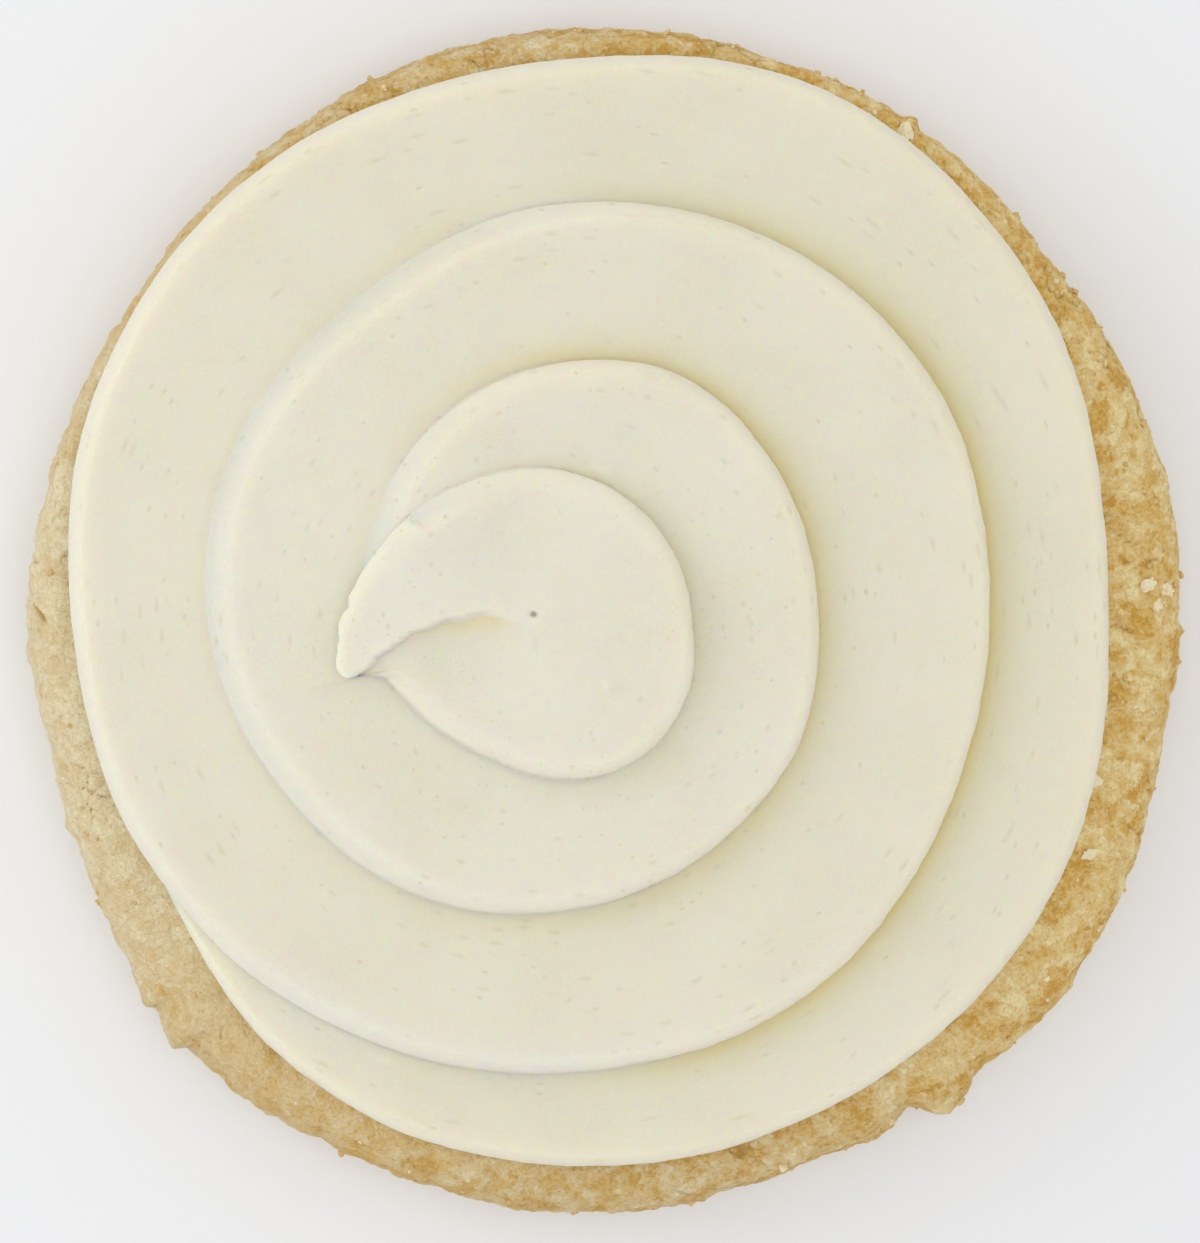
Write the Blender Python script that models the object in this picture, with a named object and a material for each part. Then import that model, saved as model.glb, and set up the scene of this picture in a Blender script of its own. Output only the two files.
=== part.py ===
"""An iced sugar cookie: a thick round biscuit, and one broad ribbon of icing swirled on top of it.

Run it with Blender 4.5: blender --background --python part.py

Sizes are in millimetres and bearings in degrees, counted anticlockwise from +X as seen from above.
The meshes are in metres. +Z is up, and the origin is on the table, below the middle of the biscuit.
Both pieces are laid out from the middle of the swirl: every section is a radial one from that point,
and x and y on the plan are counted from it.
"""
import math

import bmesh
import bpy
import numpy as np

MM = 0.001
SEED = 7

# The swirl's middle, a little to the left of the origin.
SWIRL_X = -5.48
SWIRL_Y = 0.93

# The biscuit: a disc whose rim rises from a flat base, is widest low down and rolls in to a flat seat.
# Its middle is given from the swirl's.
BISCUIT_MIDDLE = (5.0, -1.2)
BISCUIT_RADIUS = 49.9
SEAT_HEIGHT = 12.5
WIDEST_HEIGHT = 5.5
BASE_INSET = 1.6
SHOULDER_POWER = 0.83
LEAST_SHOULDER = 1.2
SEAT_MARGIN = 0.5

# Waves in the rim's outline: how many to a round, how far each stands out, and where one crest is.
RIM_WAVES = (
    (1, 0.5, -26.0),
    (2, 0.7, 86.0),
    (3, 0.3, -21.0),
    (4, 0.2, -18.0),
    (5, 0.3, 25.0),
    (7, 0.25, 17.0),
    (8, 0.25, 5.0),
)
CRUMBLE_WAVES = range(11, 36)
CRUMBLE_DEPTH = 0.09
CRAG_DEPTH = 0.16

# The ribbon's outer edge: its reach from the swirl's middle at every 30 degrees of piping, a turn a line.
START_BEARING = -147.5
REACH_STEP = 30.0
RIBBON_REACH = (
    39.5, 44.0, 46.5, 48.0, 48.5, 47.0, 49.0, 49.5, 46.0, 44.5, 42.5, 40.0,
    39.5, 38.5, 38.0, 38.0, 36.5, 36.0, 37.0, 36.0, 34.0, 31.0, 30.0, 28.5,
    26.5, 25.5, 24.0, 23.0, 22.5, 21.5, 22.0, 22.5, 21.0, 18.5, 16.5, 15.0,
    13.5, 12.5, 13.0, 13.0, 12.0, 11.0, 11.0, 11.5, 12.5, 13.5, 15.5,
)
FULL_TURN = 360.0
END_PIPED = REACH_STEP * (len(RIBBON_REACH) - 1)
CAP_PIPED = END_PIPED - FULL_TURN

# The ribbon's section: its outer lip is rounded and tucked in below, and its top dips towards the next lip.
GAP = 0.3
FIRST_LIFT = 3.9
CLIMB = 2.35
START_RAMP = 16.0
LIP_ROUND = 2.3
LIP_BULGE = 0.4
LIP_TUCK = 0.45
BAND_DIP = 0.55
DIP_WIDTH = 8.0
CLOSING = 30.0
CREST_HEIGHT = 24.6

# The tail: the ribbon's end is drawn out to the left over the last turn, and lies on it as a thin sheet.
DROOP_FROM = 1250.0
TAIL_END = 1063.5
TAIL_SWELL = 30.0
TAIL_CUT = 3.0
TAIL_OVERHANG = 2.8
TIP_DROOP = 1.1
TAIL_THICK = 1.0
TAIL_EDGE_TOP = (-6.0, 0.5)
TAIL_EDGE_BEND = 4.7
TAIL_THICKENS = (3.0, 12.0)
TAIL_EDGE_SOFT = 0.7
TAIL_FADE = (4.0, 9.0)
HOLLOW_AT = (-8.5, -3.8)
HOLLOW_SIZE = (6.0, 3.0)
HOLLOW_DEPTH = 0.9

# How finely the two pieces are cut.
COLUMNS = 90
TUCK_ROWS = 2
ROUND_ROWS = 4
BAND_ROWS = 3
CAP_RINGS = 5
SHOULDER_ROWS = 5
SIDE_SECTION = ((0.2, 0.5), (0.55, 0.15))

ICING_COLOUR = (0.79, 0.765, 0.63)
ICING_ROUGHNESS = 0.55
BISCUIT_COLOUR = (0.66, 0.48, 0.24)
BISCUIT_ROUGHNESS = 0.9


def clear_scene():
    """Remove every object that the scene starts with."""
    for thing in list(bpy.data.objects):
        bpy.data.objects.remove(thing, do_unlink=True)


def smooth_step(value, low, high):
    """Rise from 0 at low to 1 at high, level at both ends."""
    part = np.clip((value - low) / (high - low), 0.0, 1.0)
    return part * part * (3.0 - 2.0 * part)


def blend(start, end, part):
    """Go from start to end as part goes from 0 to 1."""
    return start + (end - start) * part


def ribbon_reach(piped):
    """Reach of the ribbon's outer edge after this many degrees of piping, on a smooth curve."""
    place = np.clip(piped / REACH_STEP, 0.0, len(RIBBON_REACH) - 1)
    first = int(min(place, len(RIBBON_REACH) - 2))
    part = place - first
    near = [RIBBON_REACH[min(max(first + k, 0), len(RIBBON_REACH) - 1)] for k in (-1, 0, 1, 2)]
    slope_in = (near[2] - near[0]) / 2.0
    slope_out = (near[3] - near[1]) / 2.0
    rise = near[2] - near[1]
    curve = (slope_in + slope_out - 2.0 * rise) * part + 3.0 * rise - 2.0 * slope_in - slope_out
    swell = smooth_step(piped, CAP_PIPED, CAP_PIPED + TAIL_SWELL)
    swell *= 1.0 - smooth_step(piped, TAIL_END, TAIL_END + TAIL_CUT)
    return near[1] + part * (slope_in + part * curve) + TAIL_OVERHANG * swell


def on_plan(bearing, reach):
    """The point on the plan at this bearing and reach."""
    angle = math.radians(bearing)
    return reach * math.cos(angle), reach * math.sin(angle)


def rim_reach(bearing):
    """Reach of the biscuit's rim: a circle about the biscuit's middle, with waves."""
    angle = math.radians(bearing)
    across = BISCUIT_MIDDLE[0] * math.cos(angle) + BISCUIT_MIDDLE[1] * math.sin(angle)
    apart = math.hypot(*BISCUIT_MIDDLE)
    reach = across + math.sqrt(across**2 - apart**2 + BISCUIT_RADIUS**2)
    for count, height, crest in RIM_WAVES:
        reach += height * math.cos(count * math.radians(bearing - crest))
    return reach


def tail_edge_distance(x, y):
    """How far the point lies on the tail's side of its torn edge, an arch on the plan."""
    arch = TAIL_EDGE_TOP[1] - ((x - TAIL_EDGE_TOP[0]) / TAIL_EDGE_BEND) ** 2
    return y - arch


def tail_rise(x, y):
    """Height that the tail adds to the icing below it."""
    side = tail_edge_distance(x, y)
    thick = TAIL_THICK * smooth_step(-x, *TAIL_THICKENS)
    return thick * smooth_step(side, 0.0, TAIL_EDGE_SOFT) * (1.0 - smooth_step(side, *TAIL_FADE))


def hollow_depth(x, y):
    """Depth of the hollow that the tail leaves open below its torn edge."""
    across = (x - HOLLOW_AT[0]) / HOLLOW_SIZE[0]
    along = (y - HOLLOW_AT[1]) / HOLLOW_SIZE[1]
    return HOLLOW_DEPTH * math.exp(-(across**2) - along**2)


def base_height():
    """Height of the icing's underside."""
    return SEAT_HEIGHT + GAP


def crown_height(piped):
    """Height of the ribbon's top just inside its lip."""
    ramp = smooth_step(piped, 0.0, START_RAMP)
    climb = CLIMB * piped / FULL_TURN - CLIMB * smooth_step(piped, DROOP_FROM, END_PIPED)
    tip = smooth_step(piped, CAP_PIPED, CAP_PIPED + TAIL_SWELL)
    tip *= 1.0 - smooth_step(piped, TAIL_END, TAIL_END + TAIL_CUT)
    return base_height() + ramp * (FIRST_LIFT + climb) - TIP_DROOP * tip


def band_width(piped):
    """Distance on the plan from the ribbon's outer edge in to the next turn's."""
    return max(ribbon_reach(piped) - ribbon_reach(piped + FULL_TURN), 0.0)


def lip_round(piped):
    """Width of the rounded lip, narrower where the band pinches out."""
    if piped >= CAP_PIPED:
        pinch = ribbon_reach(CAP_PIPED) - ribbon_reach(END_PIPED)
        return blend(pinch, LIP_ROUND, smooth_step(piped, CAP_PIPED, CAP_PIPED + CLOSING))
    width = band_width(piped)
    narrow = width * LIP_ROUND / (width + LIP_ROUND)
    return blend(narrow, width, smooth_step(piped, CAP_PIPED - CLOSING, CAP_PIPED))


def foot_height(piped):
    """Height of the lip's foot: the biscuit's seat on the first turn, and then the turn outside."""
    if piped < FULL_TURN:
        return base_height()
    dip = BAND_DIP * smooth_step(band_width(piped - FULL_TURN), 0.0, DIP_WIDTH)
    return crown_height(piped - FULL_TURN) - dip


def lip_tuck(piped):
    """How far the lip's foot is tucked in below its bulge."""
    return LIP_TUCK * smooth_step(piped, 0.0, START_RAMP)


def lip_section(piped):
    """Points (reach, height) from the lip's foot up round its bulge to its crown."""
    reach = ribbon_reach(piped)
    inset = lip_round(piped)
    tuck = lip_tuck(piped)
    foot = foot_height(piped)
    crown = crown_height(piped)
    if piped > CAP_PIPED:
        crown += tail_rise(*on_plan(START_BEARING + piped, reach - inset))
    bulge = blend(foot, crown, LIP_BULGE)
    section = []
    for row in range(TUCK_ROWS):
        turn = math.pi / 2.0 * row / TUCK_ROWS
        section.append((reach - tuck * (1.0 - math.sin(turn)), blend(foot, bulge, 1.0 - math.cos(turn))))
    for row in range(ROUND_ROWS + 1):
        turn = math.pi / 2.0 * row / ROUND_ROWS
        section.append((reach - inset * (1.0 - math.cos(turn)), blend(bulge, crown, math.sin(turn))))
    return section


def add_face(mesh, corners):
    """Add a face, leaving out corners that have run together."""
    kept = [corner for k, corner in enumerate(corners) if corner is not corners[k - 1]]
    if len(set(kept)) > 2:
        mesh.faces.new(kept)


def skin(mesh, first, second):
    """Join two rows of corners with faces."""
    for k in range(len(first) - 1):
        add_face(mesh, (first[k], first[k + 1], second[k + 1], second[k]))


def corner_at(mesh, bearing, reach, height):
    """Add one corner, given in millimetres."""
    x, y = on_plan(bearing, reach)
    return mesh.verts.new(((SWIRL_X + x) * MM, (SWIRL_Y + y) * MM, height * MM))


def finish_mesh(mesh, name, collection, colour, roughness):
    """Turn the corners and faces into a smooth shaded object with its own material."""
    bmesh.ops.triangulate(mesh, faces=[face for face in mesh.faces if len(face.verts) == 4])
    bmesh.ops.recalc_face_normals(mesh, faces=mesh.faces)
    data = bpy.data.meshes.new(name)
    mesh.to_mesh(data)
    mesh.free()
    data.shade_smooth()
    data.set_sharp_from_angle(angle=math.radians(50.0))
    material = bpy.data.materials.new(name)
    material.use_nodes = True
    shader = material.node_tree.nodes["Principled BSDF"]
    shader.inputs["Base Color"].default_value = (*colour, 1.0)
    shader.inputs["Roughness"].default_value = roughness
    shader.inputs["Metallic"].default_value = 0.0
    data.materials.append(material)
    piece = bpy.data.objects.new(name, data)
    collection.objects.link(piece)
    return piece


def make_icing(collection):
    """The ribbon of icing: a helical strip of lip and band, a cap over the middle and a flat underside."""
    mesh = bmesh.new()
    step = FULL_TURN / COLUMNS
    cap_column = round(CAP_PIPED / step)
    end_column = round(END_PIPED / step)
    lip_rows = TUCK_ROWS + ROUND_ROWS

    start = corner_at(mesh, START_BEARING, ribbon_reach(0.0) - LIP_TUCK, base_height())
    lips = [[start] * (lip_rows + 1)]
    for column in range(1, end_column):
        piped = column * step
        section = lip_section(piped)
        corners = [corner_at(mesh, START_BEARING + piped, *point) for point in section[1:]]
        foot = start if column == COLUMNS else corner_at(mesh, START_BEARING + piped, *section[0])
        lips.append([foot] + corners)
    pinch = lips[cap_column][-1]
    lips.append([pinch] * (lip_rows + 1))

    bands = []
    for column in range(cap_column + 1):
        outer = lips[column][-1]
        inner = lips[column + COLUMNS][0]
        piped = column * step
        crown_reach = ribbon_reach(piped) - lip_round(piped)
        foot_reach = ribbon_reach(piped + FULL_TURN) - lip_tuck(piped + FULL_TURN)
        row = [outer]
        for k in range(1, BAND_ROWS):
            part = k / BAND_ROWS
            reach = blend(crown_reach, foot_reach, part)
            height = blend(crown_height(piped), foot_height(piped + FULL_TURN), smooth_step(part, 0.0, 1.0))
            pinched = column in (0, cap_column)
            row.append(outer if pinched else corner_at(mesh, START_BEARING + piped, reach, height))
        bands.append(row + [inner])

    for column in range(end_column):
        skin(mesh, lips[column], lips[column + 1])
    for column in range(cap_column):
        skin(mesh, bands[column], bands[column + 1])

    rings = []
    for column in range(cap_column, end_column + 1):
        piped = column * step
        crown = crown_height(piped)
        spoke = [lips[column][-1]]
        for ring in range(1, CAP_RINGS):
            part = 1.0 - ring / CAP_RINGS
            reach = part * (ribbon_reach(piped) - lip_round(piped))
            x, y = on_plan(START_BEARING + piped, reach)
            height = blend(CREST_HEIGHT, crown, part * part) - hollow_depth(x, y) + tail_rise(x, y)
            joined = column == end_column
            spoke.append(rings[0][ring] if joined else corner_at(mesh, START_BEARING + piped, reach, height))
        rings.append(spoke)
    middle = corner_at(mesh, 0.0, 0.0, CREST_HEIGHT)
    for column in range(COLUMNS):
        skin(mesh, rings[column] + [middle], rings[column + 1] + [middle])

    mesh.faces.new([lips[column][0] for column in range(COLUMNS)])
    return finish_mesh(mesh, "icing", collection, ICING_COLOUR, ICING_ROUGHNESS)


def make_biscuit(collection):
    """The biscuit: one section at every bearing, from the seat's edge over the shoulder to the base."""
    mesh = bmesh.new()
    random = np.random.default_rng(SEED)
    crumble = [(count, random.uniform(0.0, FULL_TURN)) for count in CRUMBLE_WAVES]
    rows = 2 + SHOULDER_ROWS + len(SIDE_SECTION)
    sections = []
    for column in range(COLUMNS):
        piped = column * FULL_TURN / COLUMNS
        bearing = START_BEARING + piped
        rim = rim_reach(bearing)
        for count, crest in crumble:
            rim += CRUMBLE_DEPTH * math.cos(count * math.radians(bearing - crest))
        seat = min(ribbon_reach(piped) + SEAT_MARGIN, rim - LEAST_SHOULDER)
        section = [(seat, SEAT_HEIGHT)]
        for row in range(1, SHOULDER_ROWS + 1):
            turn = math.pi / 2.0 * row / SHOULDER_ROWS
            out = math.sin(turn) ** SHOULDER_POWER
            up = max(math.cos(turn), 0.0) ** SHOULDER_POWER
            crag = CRAG_DEPTH * random.uniform(-1.0, 1.0)
            section.append((blend(seat, rim, out) + crag, blend(WIDEST_HEIGHT, SEAT_HEIGHT, up) - abs(crag)))
        for inset, part in SIDE_SECTION:
            section.append((rim - inset * BASE_INSET, part * WIDEST_HEIGHT))
        section.append((rim - BASE_INSET, 0.0))
        sections.append([corner_at(mesh, bearing, *point) for point in section])
    sections.append(sections[0])
    for column in range(COLUMNS):
        skin(mesh, sections[column], sections[column + 1])
    for row in (0, rows - 1):
        mesh.faces.new([section[row] for section in sections[:-1]])
    return finish_mesh(mesh, "biscuit", collection, BISCUIT_COLOUR, BISCUIT_ROUGHNESS)


def main():
    """Make both pieces in a collection of their own."""
    clear_scene()
    collection = bpy.data.collections.new("iced_sugar_cookie")
    bpy.context.scene.collection.children.link(collection)
    make_biscuit(collection)
    make_icing(collection)


main()
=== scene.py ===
# %% [markdown]
# # An iced sugar cookie
#
# The real thing is a thick round biscuit with a craggy rim, and one broad ribbon of pale icing that is
# piped on top of it in a stepped swirl. This script dresses a imported model of the cookie: its two solids
# stay where they are, and finer meshes with real crumb and lips, and pits painted as shade, stand for them.
#
# We start by loading that model as a fixed frame.

# %% Load the frame
import math

import bmesh
import bpy
import numpy as np
from mathutils import Euler, Matrix, Vector, noise


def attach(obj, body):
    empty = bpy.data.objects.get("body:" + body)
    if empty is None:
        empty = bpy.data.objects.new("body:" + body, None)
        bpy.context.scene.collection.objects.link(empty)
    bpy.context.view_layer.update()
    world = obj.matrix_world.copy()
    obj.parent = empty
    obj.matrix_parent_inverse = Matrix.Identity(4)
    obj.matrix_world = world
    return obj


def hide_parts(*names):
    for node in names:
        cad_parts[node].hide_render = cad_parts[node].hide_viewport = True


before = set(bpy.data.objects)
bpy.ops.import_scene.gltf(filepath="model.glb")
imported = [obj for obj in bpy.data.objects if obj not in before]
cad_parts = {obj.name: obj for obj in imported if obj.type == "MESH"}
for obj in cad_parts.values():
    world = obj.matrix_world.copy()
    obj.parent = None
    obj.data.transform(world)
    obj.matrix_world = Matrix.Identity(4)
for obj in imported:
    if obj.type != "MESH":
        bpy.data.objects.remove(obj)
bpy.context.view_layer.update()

# %% [markdown]
# ## Units and small helpers
#
# Baking is measured in millimetres and Blender's meshes in metres, so every size below is in millimetres
# and is scaled once, when a mesh is made. A smooth step is the workhorse of soft shapes: it fades one form
# into the next with no crease. Bearings are degrees, anticlockwise from +X as seen from above.

# %% Units and small helpers
MM = 0.001
FULL_TURN = 360.0


def smooth_step(value, low, high):
    """Rise from 0 at low to 1 at high, level at both ends."""
    part = np.clip((value - low) / (high - low), 0.0, 1.0)
    return part * part * (3.0 - 2.0 * part)


def blend(start, end, part):
    """Go from start to end as part goes from 0 to 1."""
    return start + (end - start) * part


def on_plan(bearing, reach):
    """The point on the plan at this bearing and reach from the swirl's middle."""
    angle = np.radians(bearing)
    return reach * np.cos(angle), reach * np.sin(angle)


def by_turn(values, piped):
    """The value of the turn that this much piping has come to."""
    return np.interp(piped / FULL_TURN, np.arange(len(values)) + 0.5, values)


def toward(bearing, side, power):
    """1 at this side of the cookie, falling to 0 at the far side."""
    return (0.5 + 0.5 * np.cos(np.radians(bearing - side))) ** power


# %% [markdown]
# ## Random lumps
#
# Food is never quite smooth. Blender's Perlin noise gives soft random lumps of any size, and because it is
# a fixed function of the place, the cookie comes out the same on every run. Cells do for crumb: each point
# asks which of the scattered seeds is nearest, which splits a surface into little plates with cracks
# between them.

# %% Lumps and plates
def lumps(points, size, seed):
    """Soft random lumps, mostly between -0.7 and 0.7, each about this size across."""
    shift = Vector((17.3, 5.1, 9.7)) * seed
    return np.array([noise.noise(Vector(point) / size + shift) for point in points])


def plates(points, size, seed):
    """Plates about this size: how far each point is from a crack, and a random level for its cell."""
    shift = Vector((3.7, 11.9, 7.3)) * seed
    inside = np.empty(len(points))
    level = np.empty(len(points))
    for k, point in enumerate(points):
        distances, seeds = noise.voronoi(Vector(point) / size + shift)
        inside[k] = distances[1] - distances[0]
        level[k] = noise.noise(seeds[0] * 3.7)
    return inside, level


# %% [markdown]
# ## Where the ribbon runs
#
# The ribbon is piped from the outside in, nearly four turns. One number says where we are on it: how many
# degrees have been piped. The reach of its outer edge is given every 30 degrees, a turn a line, and a
# Catmull-Rom curve runs smoothly through those points. The last line swells out again: that is the tail,
# where the nozzle was drawn away to the left, across the edge of the turn below.

# %% The ribbon's outer edge
SWIRL_X = -5.48
SWIRL_Y = 0.93
START_BEARING = -147.5
REACH_STEP = 30.0
RIBBON_REACH = np.array((
    39.5, 44.0, 46.5, 48.0, 48.5, 47.0, 49.0, 49.5, 46.0, 44.5, 42.5, 40.0,
    39.5, 38.5, 38.0, 38.0, 36.6, 36.3, 37.1, 36.0, 34.0, 31.0, 30.0, 28.5,
    26.5, 25.5, 24.0, 23.0, 22.5, 21.5, 22.0, 22.5, 21.0, 19.0, 17.1, 16.0,
    13.6, 12.5, 13.0, 13.0, 12.0, 11.0, 11.0, 11.5, 12.5, 13.6, 15.6,
    18.0, 19.0,
))
LAST = len(RIBBON_REACH) - 1
END_PIPED = 1423.0
CAP_PIPED = END_PIPED - FULL_TURN
TIP_ROUNDING = (3.0, 2.2)
LAYER_STEP = 0.25
SWELL_SOFT = 0.15
SWELL_RISES = (1005.0, 1030.0)
SWELL_FALLS = (1062.0, 1065.5)


def ribbon_reach(piped):
    """Reach of the ribbon's outer edge after this many degrees of piping."""
    place = np.clip(piped / REACH_STEP, 0.0, LAST)
    first = np.minimum(place.astype(int), LAST - 1)
    part = place - first
    before, near, far, after = (RIBBON_REACH[np.clip(first + k, 0, LAST)] for k in (-1, 0, 1, 2))
    slope_in = (far - before) / 2.0
    slope_out = (after - near) / 2.0
    rise = far - near
    curve = (slope_in + slope_out - 2.0 * rise) * part + 3.0 * rise - 2.0 * slope_in - slope_out
    return near + part * (slope_in + part * curve)


def rounded_off(piped):
    """How far the tip of the tail is drawn in here."""
    left = np.clip((END_PIPED - piped) / TIP_ROUNDING[0], 0.0, 1.0)
    return TIP_ROUNDING[1] * (1.0 - np.sqrt(1.0 - (1.0 - left) ** 2))


def edge_reach(piped):
    """Reach of the lip's edge; below the tail it swells out until it carries the tail's own edge."""
    reach = ribbon_reach(piped) - rounded_off(piped)
    above = np.minimum(piped + FULL_TURN, END_PIPED)
    short = ribbon_reach(above) - rounded_off(above) - LAYER_STEP - reach
    swell = SWELL_SOFT * np.logaddexp(0.0, short / SWELL_SOFT)
    return reach + swell * smooth_step(piped, *SWELL_RISES) * (1.0 - smooth_step(piped, *SWELL_FALLS))


print("the ribbon is piped for", END_PIPED / FULL_TURN, "turns")

# %% [markdown]
# ## How high it lies
#
# Each turn climbs a step above the one outside it. Its lip stands on the turn below, or on the biscuit's
# seat for the first turn, and its top sinks a little towards the next lip, as soft icing does. The visible
# piece reaches slightly into the biscuit, so that no slit of light shows below it.

# %% Heights along the ribbon
SEAT_HEIGHT = 12.5
SINK = 0.4
FIRST_CROWN = 16.7
CLIMB = 2.35
START_RAMP = 16.0
LIP_ROUND = 1.75
BAND_DIP = 0.55
DIP_WIDTH = 8.0
SWELL_SIDE = 158.0
SWELL_POWER = 3.0
SWELL = 1.35
SWELL_BY_TURN = (1.0, 1.0, 1.35, 1.0)
SWELL_EASES = 0.6
SWELL_EASED = (880.0, 950.0)
CREST_HEIGHT = 24.6
LEVEL_FROM = 1200.0
LADEN_DROP = 0.5
LADEN_FROM = (1010.0, 1040.0)
LADEN_UNTIL = (1050.0, 1062.0)


def crown_height(piped):
    """Height of the ribbon's top just inside its lip; the last turn levels out below the tail's sheet."""
    ramp = smooth_step(piped, 0.0, START_RAMP)
    climb = CLIMB * piped / FULL_TURN - CLIMB * smooth_step(piped, LEVEL_FROM, END_PIPED)
    laden = LADEN_DROP * smooth_step(piped, *LADEN_FROM) * (1.0 - smooth_step(piped, *LADEN_UNTIL))
    return blend(SEAT_HEIGHT, FIRST_CROWN + climb, ramp) - laden


def band_width(piped):
    """Distance on the plan from the ribbon's outer edge in to the next turn's."""
    return np.maximum(edge_reach(piped) - edge_reach(piped + FULL_TURN), 0.0)


def foot_height(piped):
    """Height of the lip's foot: just inside the biscuit on the first turn, and then on the turn outside."""
    outer = piped - FULL_TURN
    swell = SWELL * by_turn(SWELL_BY_TURN, piped) * toward(START_BEARING + piped, SWELL_SIDE, SWELL_POWER)
    swell = swell * (1.0 - SWELL_EASES * smooth_step(outer, *SWELL_EASED))
    dip = (BAND_DIP - swell) * smooth_step(band_width(outer), 0.0, DIP_WIDTH)
    return np.where(piped < FULL_TURN, SEAT_HEIGHT - SINK, crown_height(outer) - dip)


# %% [markdown]
# ## The lip's width and its tuck
#
# In section the lip is a rounded roll, tucked in a little at its foot. On the left the nozzle leaned the
# other way, so there the roll is soft and low and its foot runs out into the turn below. Two places need
# more thought. Where the ribbon starts, the band is too narrow for a full roll. And the tail hangs out
# over the lip of the turn below, so its foot has to stay on the level part of that turn while its edge
# goes on outward.

# %% Lip width and tuck
LIP_TUCK = 0.45
SOFT_FROM = (320.0, 420.0)
SOFT_UNTIL = (1375.0, 1400.0)
SOFT_RISES = (60.0, 120.0)
SOFT_FALLS = (165.0, 290.0)
SOFT_WIDER = 0.25
CRISPER = 0.3
CRISP_SIDE = -10.0
CRISP_POWER = 2.0
INNER_TURNS = (700.0, 900.0)
INNER_LATER = 32.0
INNER_SOONER = 85.0
OPEN_SIDE = (60.0, 110.0, 270.0, 340.0)
OPEN_TUCK = -0.35
NARROW_UNTIL = (180.0, 540.0)
TIP_ROUND = 0.9
TIP_NARROWS = (1385.0, 1412.0)
LADEN_ROUND = 0.3
ROUND_COVERED = (1015.0, 1045.0)
ROUND_FREED = (1059.0, 1067.0)
LEDGE = 0.25
SOFT_MINIMUM = 0.2


def softness(piped):
    """How softly the lip runs into the turn below: 1 at the far left of each turn but the first."""
    bearing = (START_BEARING + piped) % FULL_TURN
    inner = smooth_step(piped, *INNER_TURNS)
    rises = smooth_step(bearing - INNER_LATER * inner, *SOFT_RISES)
    falls = smooth_step(bearing, SOFT_FALLS[0], SOFT_FALLS[1] - INNER_SOONER * inner)
    return rises * (1.0 - falls) * smooth_step(piped, *SOFT_FROM) * (1.0 - smooth_step(piped, *SOFT_UNTIL))


def openness(piped):
    """1 where the lip's foot runs out instead of tucking in: the left of each turn but the first."""
    bearing = (START_BEARING + piped) % FULL_TURN
    side = smooth_step(bearing, *OPEN_SIDE[:2]) * (1.0 - smooth_step(bearing, *OPEN_SIDE[2:]))
    return side * smooth_step(piped, *SOFT_FROM) * (1.0 - smooth_step(piped, *SOFT_UNTIL))


def lip_round(piped):
    """Width of the rounded lip, narrower where the ribbon starts and at the tip of the tail."""
    width = band_width(piped)
    narrow = width * LIP_ROUND / (width + LIP_ROUND)
    crisp = 1.0 - CRISPER * toward(START_BEARING + piped, CRISP_SIDE, CRISP_POWER)
    full = LIP_ROUND * crisp * (1.0 + SOFT_WIDER * softness(piped))
    full = blend(full, TIP_ROUND, smooth_step(piped, *TIP_NARROWS))
    covered = smooth_step(piped, *ROUND_COVERED) * (1.0 - smooth_step(piped, *ROUND_FREED))
    full = blend(full, LADEN_ROUND, covered)
    return blend(narrow, full, smooth_step(piped, *NARROW_UNTIL))


def foot_reach(piped):
    """Reach of the lip's foot: tucked in below the edge, and always on the level part of the turn below."""
    tuck = blend(LIP_TUCK, OPEN_TUCK, openness(piped))
    own = edge_reach(piped) - tuck * smooth_step(piped, 0.0, START_RAMP)
    outer = np.maximum(piped - FULL_TURN, 0.0)
    ledge = edge_reach(outer) - lip_round(outer) - LEDGE
    lower = -SOFT_MINIMUM * np.logaddexp(-own / SOFT_MINIMUM, -ledge / SOFT_MINIMUM)
    return np.where(piped < FULL_TURN + START_RAMP, own, lower)


# %% [markdown]
# ## The tail
#
# At the end the nozzle is dragged off to the left, which leaves a thin sheet on the last turn. It sags
# where it hangs out over the lip below, its tip is ragged, its lower edge is torn, and the tear leaves a
# shallow hollow. On the plan the torn edge is an arch, so the distance from it is a short formula, and
# noise on that distance makes the edge uneven.

# %% The tail's sheet and hollow
SHEET_THICK = 1.25
SHEET_THICKENS = (3.0, 12.0)
TEAR_TOP = (-6.0, 0.5)
TEAR_BEND = 4.7
TEAR_SOFT = 0.6
TEAR_WANDERS = ((1.6, 0.40), (0.6, 0.16))
SAG = 0.5
SAG_FROM = (12.5, 18.5)
HOLLOW_AT = (-7.2, -2.6)
HOLLOW_SIZE = (4.6, 2.8)
HOLLOW_DEPTH = 0.75


def tear_side(x, y):
    """Distance in from the torn edge, negative in the hollow below it."""
    flat = np.stack((x.ravel(), y.ravel(), np.zeros(x.size)), axis=1)
    wander = sum(depth * lumps(flat, size, 31 + k) for k, (size, depth) in enumerate(TEAR_WANDERS))
    return y - TEAR_TOP[1] + ((x - TEAR_TOP[0]) / TEAR_BEND) ** 2 + wander.reshape(x.shape)


def sheet_share(x):
    """0 to the right, where the sheet is one with the last turn, and 1 to the left, where it is thick."""
    return smooth_step(-x, *SHEET_THICKENS)


def sheet_rise(x, y):
    """Height that the sheet adds to the icing below it."""
    return SHEET_THICK * sheet_share(x) * smooth_step(tear_side(x, y), 0.0, TEAR_SOFT)


def sag(x, reach):
    """How far the sheet hangs down here."""
    return SAG * sheet_share(x) * smooth_step(reach, *SAG_FROM)


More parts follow.
